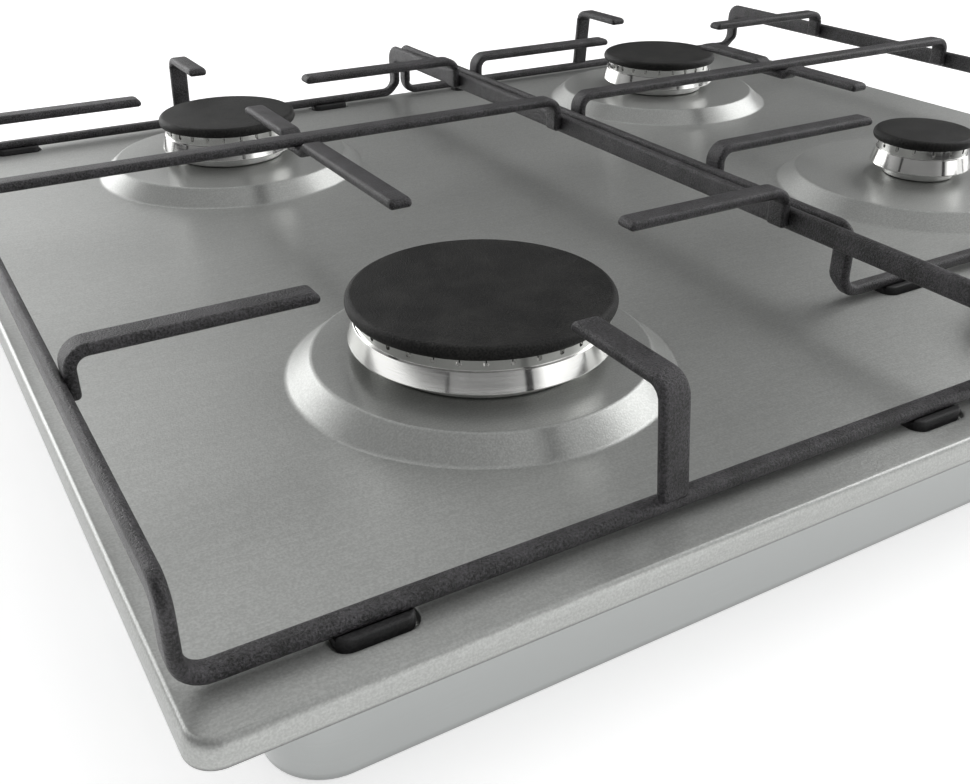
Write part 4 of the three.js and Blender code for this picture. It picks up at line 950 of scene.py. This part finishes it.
coated("plug_ceramic", (0.80, 0.78, 0.73), (0.88, 0.87, 0.83),
       0.12, 0.25, 1400.0, 0.00003, 0.2, 0.5)
coated("foot_rubber", (0.012, 0.012, 0.0125), (0.042, 0.041, 0.043),
       0.5, 0.68, 1500.0, 0.0003, 0.6, 0.5)
foam()
coated("black_plastic", (0.02, 0.02, 0.021), (0.033, 0.033, 0.034),
       0.4, 0.55, 2400.0, 0.00005, 0.4, 0.5)


# ---------------------------------------------------------------- pieces

settle(deck(), "hob", "deck_steel", "top_plate")
settle(casing(), "hob", "box_steel", "burner_box")
for side, sizes in SUPPORTS.items():
    body = f"support_{side}"
    settle(pan_support(side, sizes), body, "support_enamel", f"pan_support_{side}",
           sharp=70, weighted=False)
    for spot, (x, y) in foot_places(sizes).items():
        settle(support_foot(f"foot_pad_{side}_{spot}", x, y), body, "foot_rubber",
               f"support_foot_{side}_{spot}")
for name, (x, y, cap, ports, throat) in BURNERS.items():
    settle(flame_ring(f"turned_ring_{name}", x, y, cap, ports, throat), f"ring_{name}",
           "polished_aluminium", f"flame_ring_{name}")
    settle(burner_cap(f"enamel_cap_{name}", x, y, cap), f"cap_{name}", "cap_enamel",
           f"burner_cap_{name}")
    settle(burner_cup(f"cast_cup_{name}", x, y, cap), "hob", "cast_aluminium",
           f"burner_cup_{name}")
    settle(spark_plug(f"igniter_plug_{name}", x, y, cap), "hob", "plug_ceramic",
           f"spark_plug_{name}")
for name, x in KNOBS.items():
    body = f"handle_{name}"
    settle(knob(f"turned_knob_{name}", x), body, "knob_plastic", f"knob_{name}")
    settle(spindle(f"flatted_spindle_{name}", x), body, "zinc_steel", f"tap_spindle_{name}")
settle(gas_inlet(), "hob", "jet_brass", "gas_inlet")

for row in frame["record"]["subparts"]:
    obj = frame["nodes"][row["node"]]
    obj.data.materials.clear()
    obj.data.materials.append(MATERIALS[row["material_slot"]])
    obj.data.shade_smooth()
    obj.data.set_sharp_from_angle(angle=math.radians(32))

# ---------------------------------------------------------------- floor, light and camera

# Glow that makes the pale floor white, alike for the camera, gloss and glass. It lights nothing
# else, and the object's shadow stays.
FLOOR_GLOW = 0.6


def floor():
    mesh = bpy.data.meshes.new("floor")
    mesh.from_pydata([(-6, -6, 0), (6, -6, 0), (6, 6, 0), (-6, 6, 0)], [], [(0, 1, 2, 3)])
    obj = bpy.data.objects.new("floor", mesh)
    bpy.context.scene.collection.objects.link(obj)
    s = Shade("floor_white")
    path = s.new("ShaderNodeLightPath").outputs
    seen = s.math("MAXIMUM", path["Is Camera Ray"], path["Is Glossy Ray"])
    seen = s.math("MAXIMUM", seen, path["Is Transmission Ray"])
    glow = s.add("ShaderNodeEmission", {
        "Color": (1, 1, 1), "Strength": s.math("MULTIPLY", seen, FLOOR_GLOW)})
    s.feed(Base_Color=(0.9, 0.9, 0.9), Roughness=0.9)
    both = s.add("ShaderNodeAddShader", {0: s.bsdf.outputs[0], 1: glow})
    s.tree.links.new(both, s.tree.nodes["Material Output"].inputs[0])
    obj.data.materials.append(s.material)


floor()

# Soft patches of light: azimuth from +Y towards +X and elevation of the middle, inner and outer
# radius, all in degrees, and the strength that is added to the ambient level.
AMBIENT = 0.46
DARKEST = 0.05
LIGHT = (
    (88, 30, 16, 26, 2.5),
    (-12, 12, 12, 34, 0.9),
    (148, 8, 5, 20, 1.2),
    (-22, 12, 8, 24, 2.6),
    (8, 43, 8, 28, 0.24),
    (57, 32, 4, 18, -0.3),
    (118, -3, 6, 24, 0.6),
    (125, 60, 8, 34, 0.2),
    (33, 11, 8, 32, -0.32),
    (235, 0, 35, 75, -0.24),
)


def studio():
    world = bpy.data.worlds.new("studio")
    world.use_nodes = True
    bpy.context.scene.world = world
    sky = Nodes(world.node_tree)
    sky.tree.nodes.clear()
    direction = sky.add("ShaderNodeTexCoord")
    level = AMBIENT
    for azimuth, elevation, inner, outer, strength in LIGHT:
        a = math.radians(azimuth)
        e = math.radians(elevation)
        middle = (math.sin(a) * math.cos(e), math.cos(a) * math.cos(e), math.sin(e))
        facing = sky.add(
            "ShaderNodeVectorMath", {0: direction, 1: middle}, 1, operation="DOT_PRODUCT")
        patch = sky.ramp(
            facing, 0.0, strength, math.cos(math.radians(outer)), math.cos(math.radians(inner)),
            interpolation_type="SMOOTHERSTEP")
        level = sky.math("ADD", patch, level)
    level = sky.math("MAXIMUM", level, DARKEST)
    camera_ray = sky.add("ShaderNodeLightPath", output="Is Camera Ray")
    strength = sky.add("ShaderNodeMix", {0: camera_ray, 2: level, 3: 1.0}, data_type="FLOAT")
    background = sky.add("ShaderNodeBackground", {"Color": (1, 1, 1), "Strength": strength})
    sky.new("ShaderNodeOutputWorld", {0: background})


studio()

camera_data = bpy.data.cameras.new("camera")
camera = bpy.data.objects.new("camera", camera_data)
bpy.context.scene.collection.objects.link(camera)
camera_data.sensor_width = 36
camera_data.sensor_fit = "HORIZONTAL"
camera_data.lens = 40.3807
camera_data.clip_start = 0.01
camera.matrix_world = Matrix((
    (0.863048, 0.247774, -0.440178, -0.323583),
    (-0.505118, 0.419616, -0.754174, -0.427101),
    (-0.002159, 0.873230, 0.487303, 0.230851),
    (0, 0, 0, 1),
))
bpy.context.scene.camera = camera
bpy.context.scene.view_settings.view_transform = "Standard"
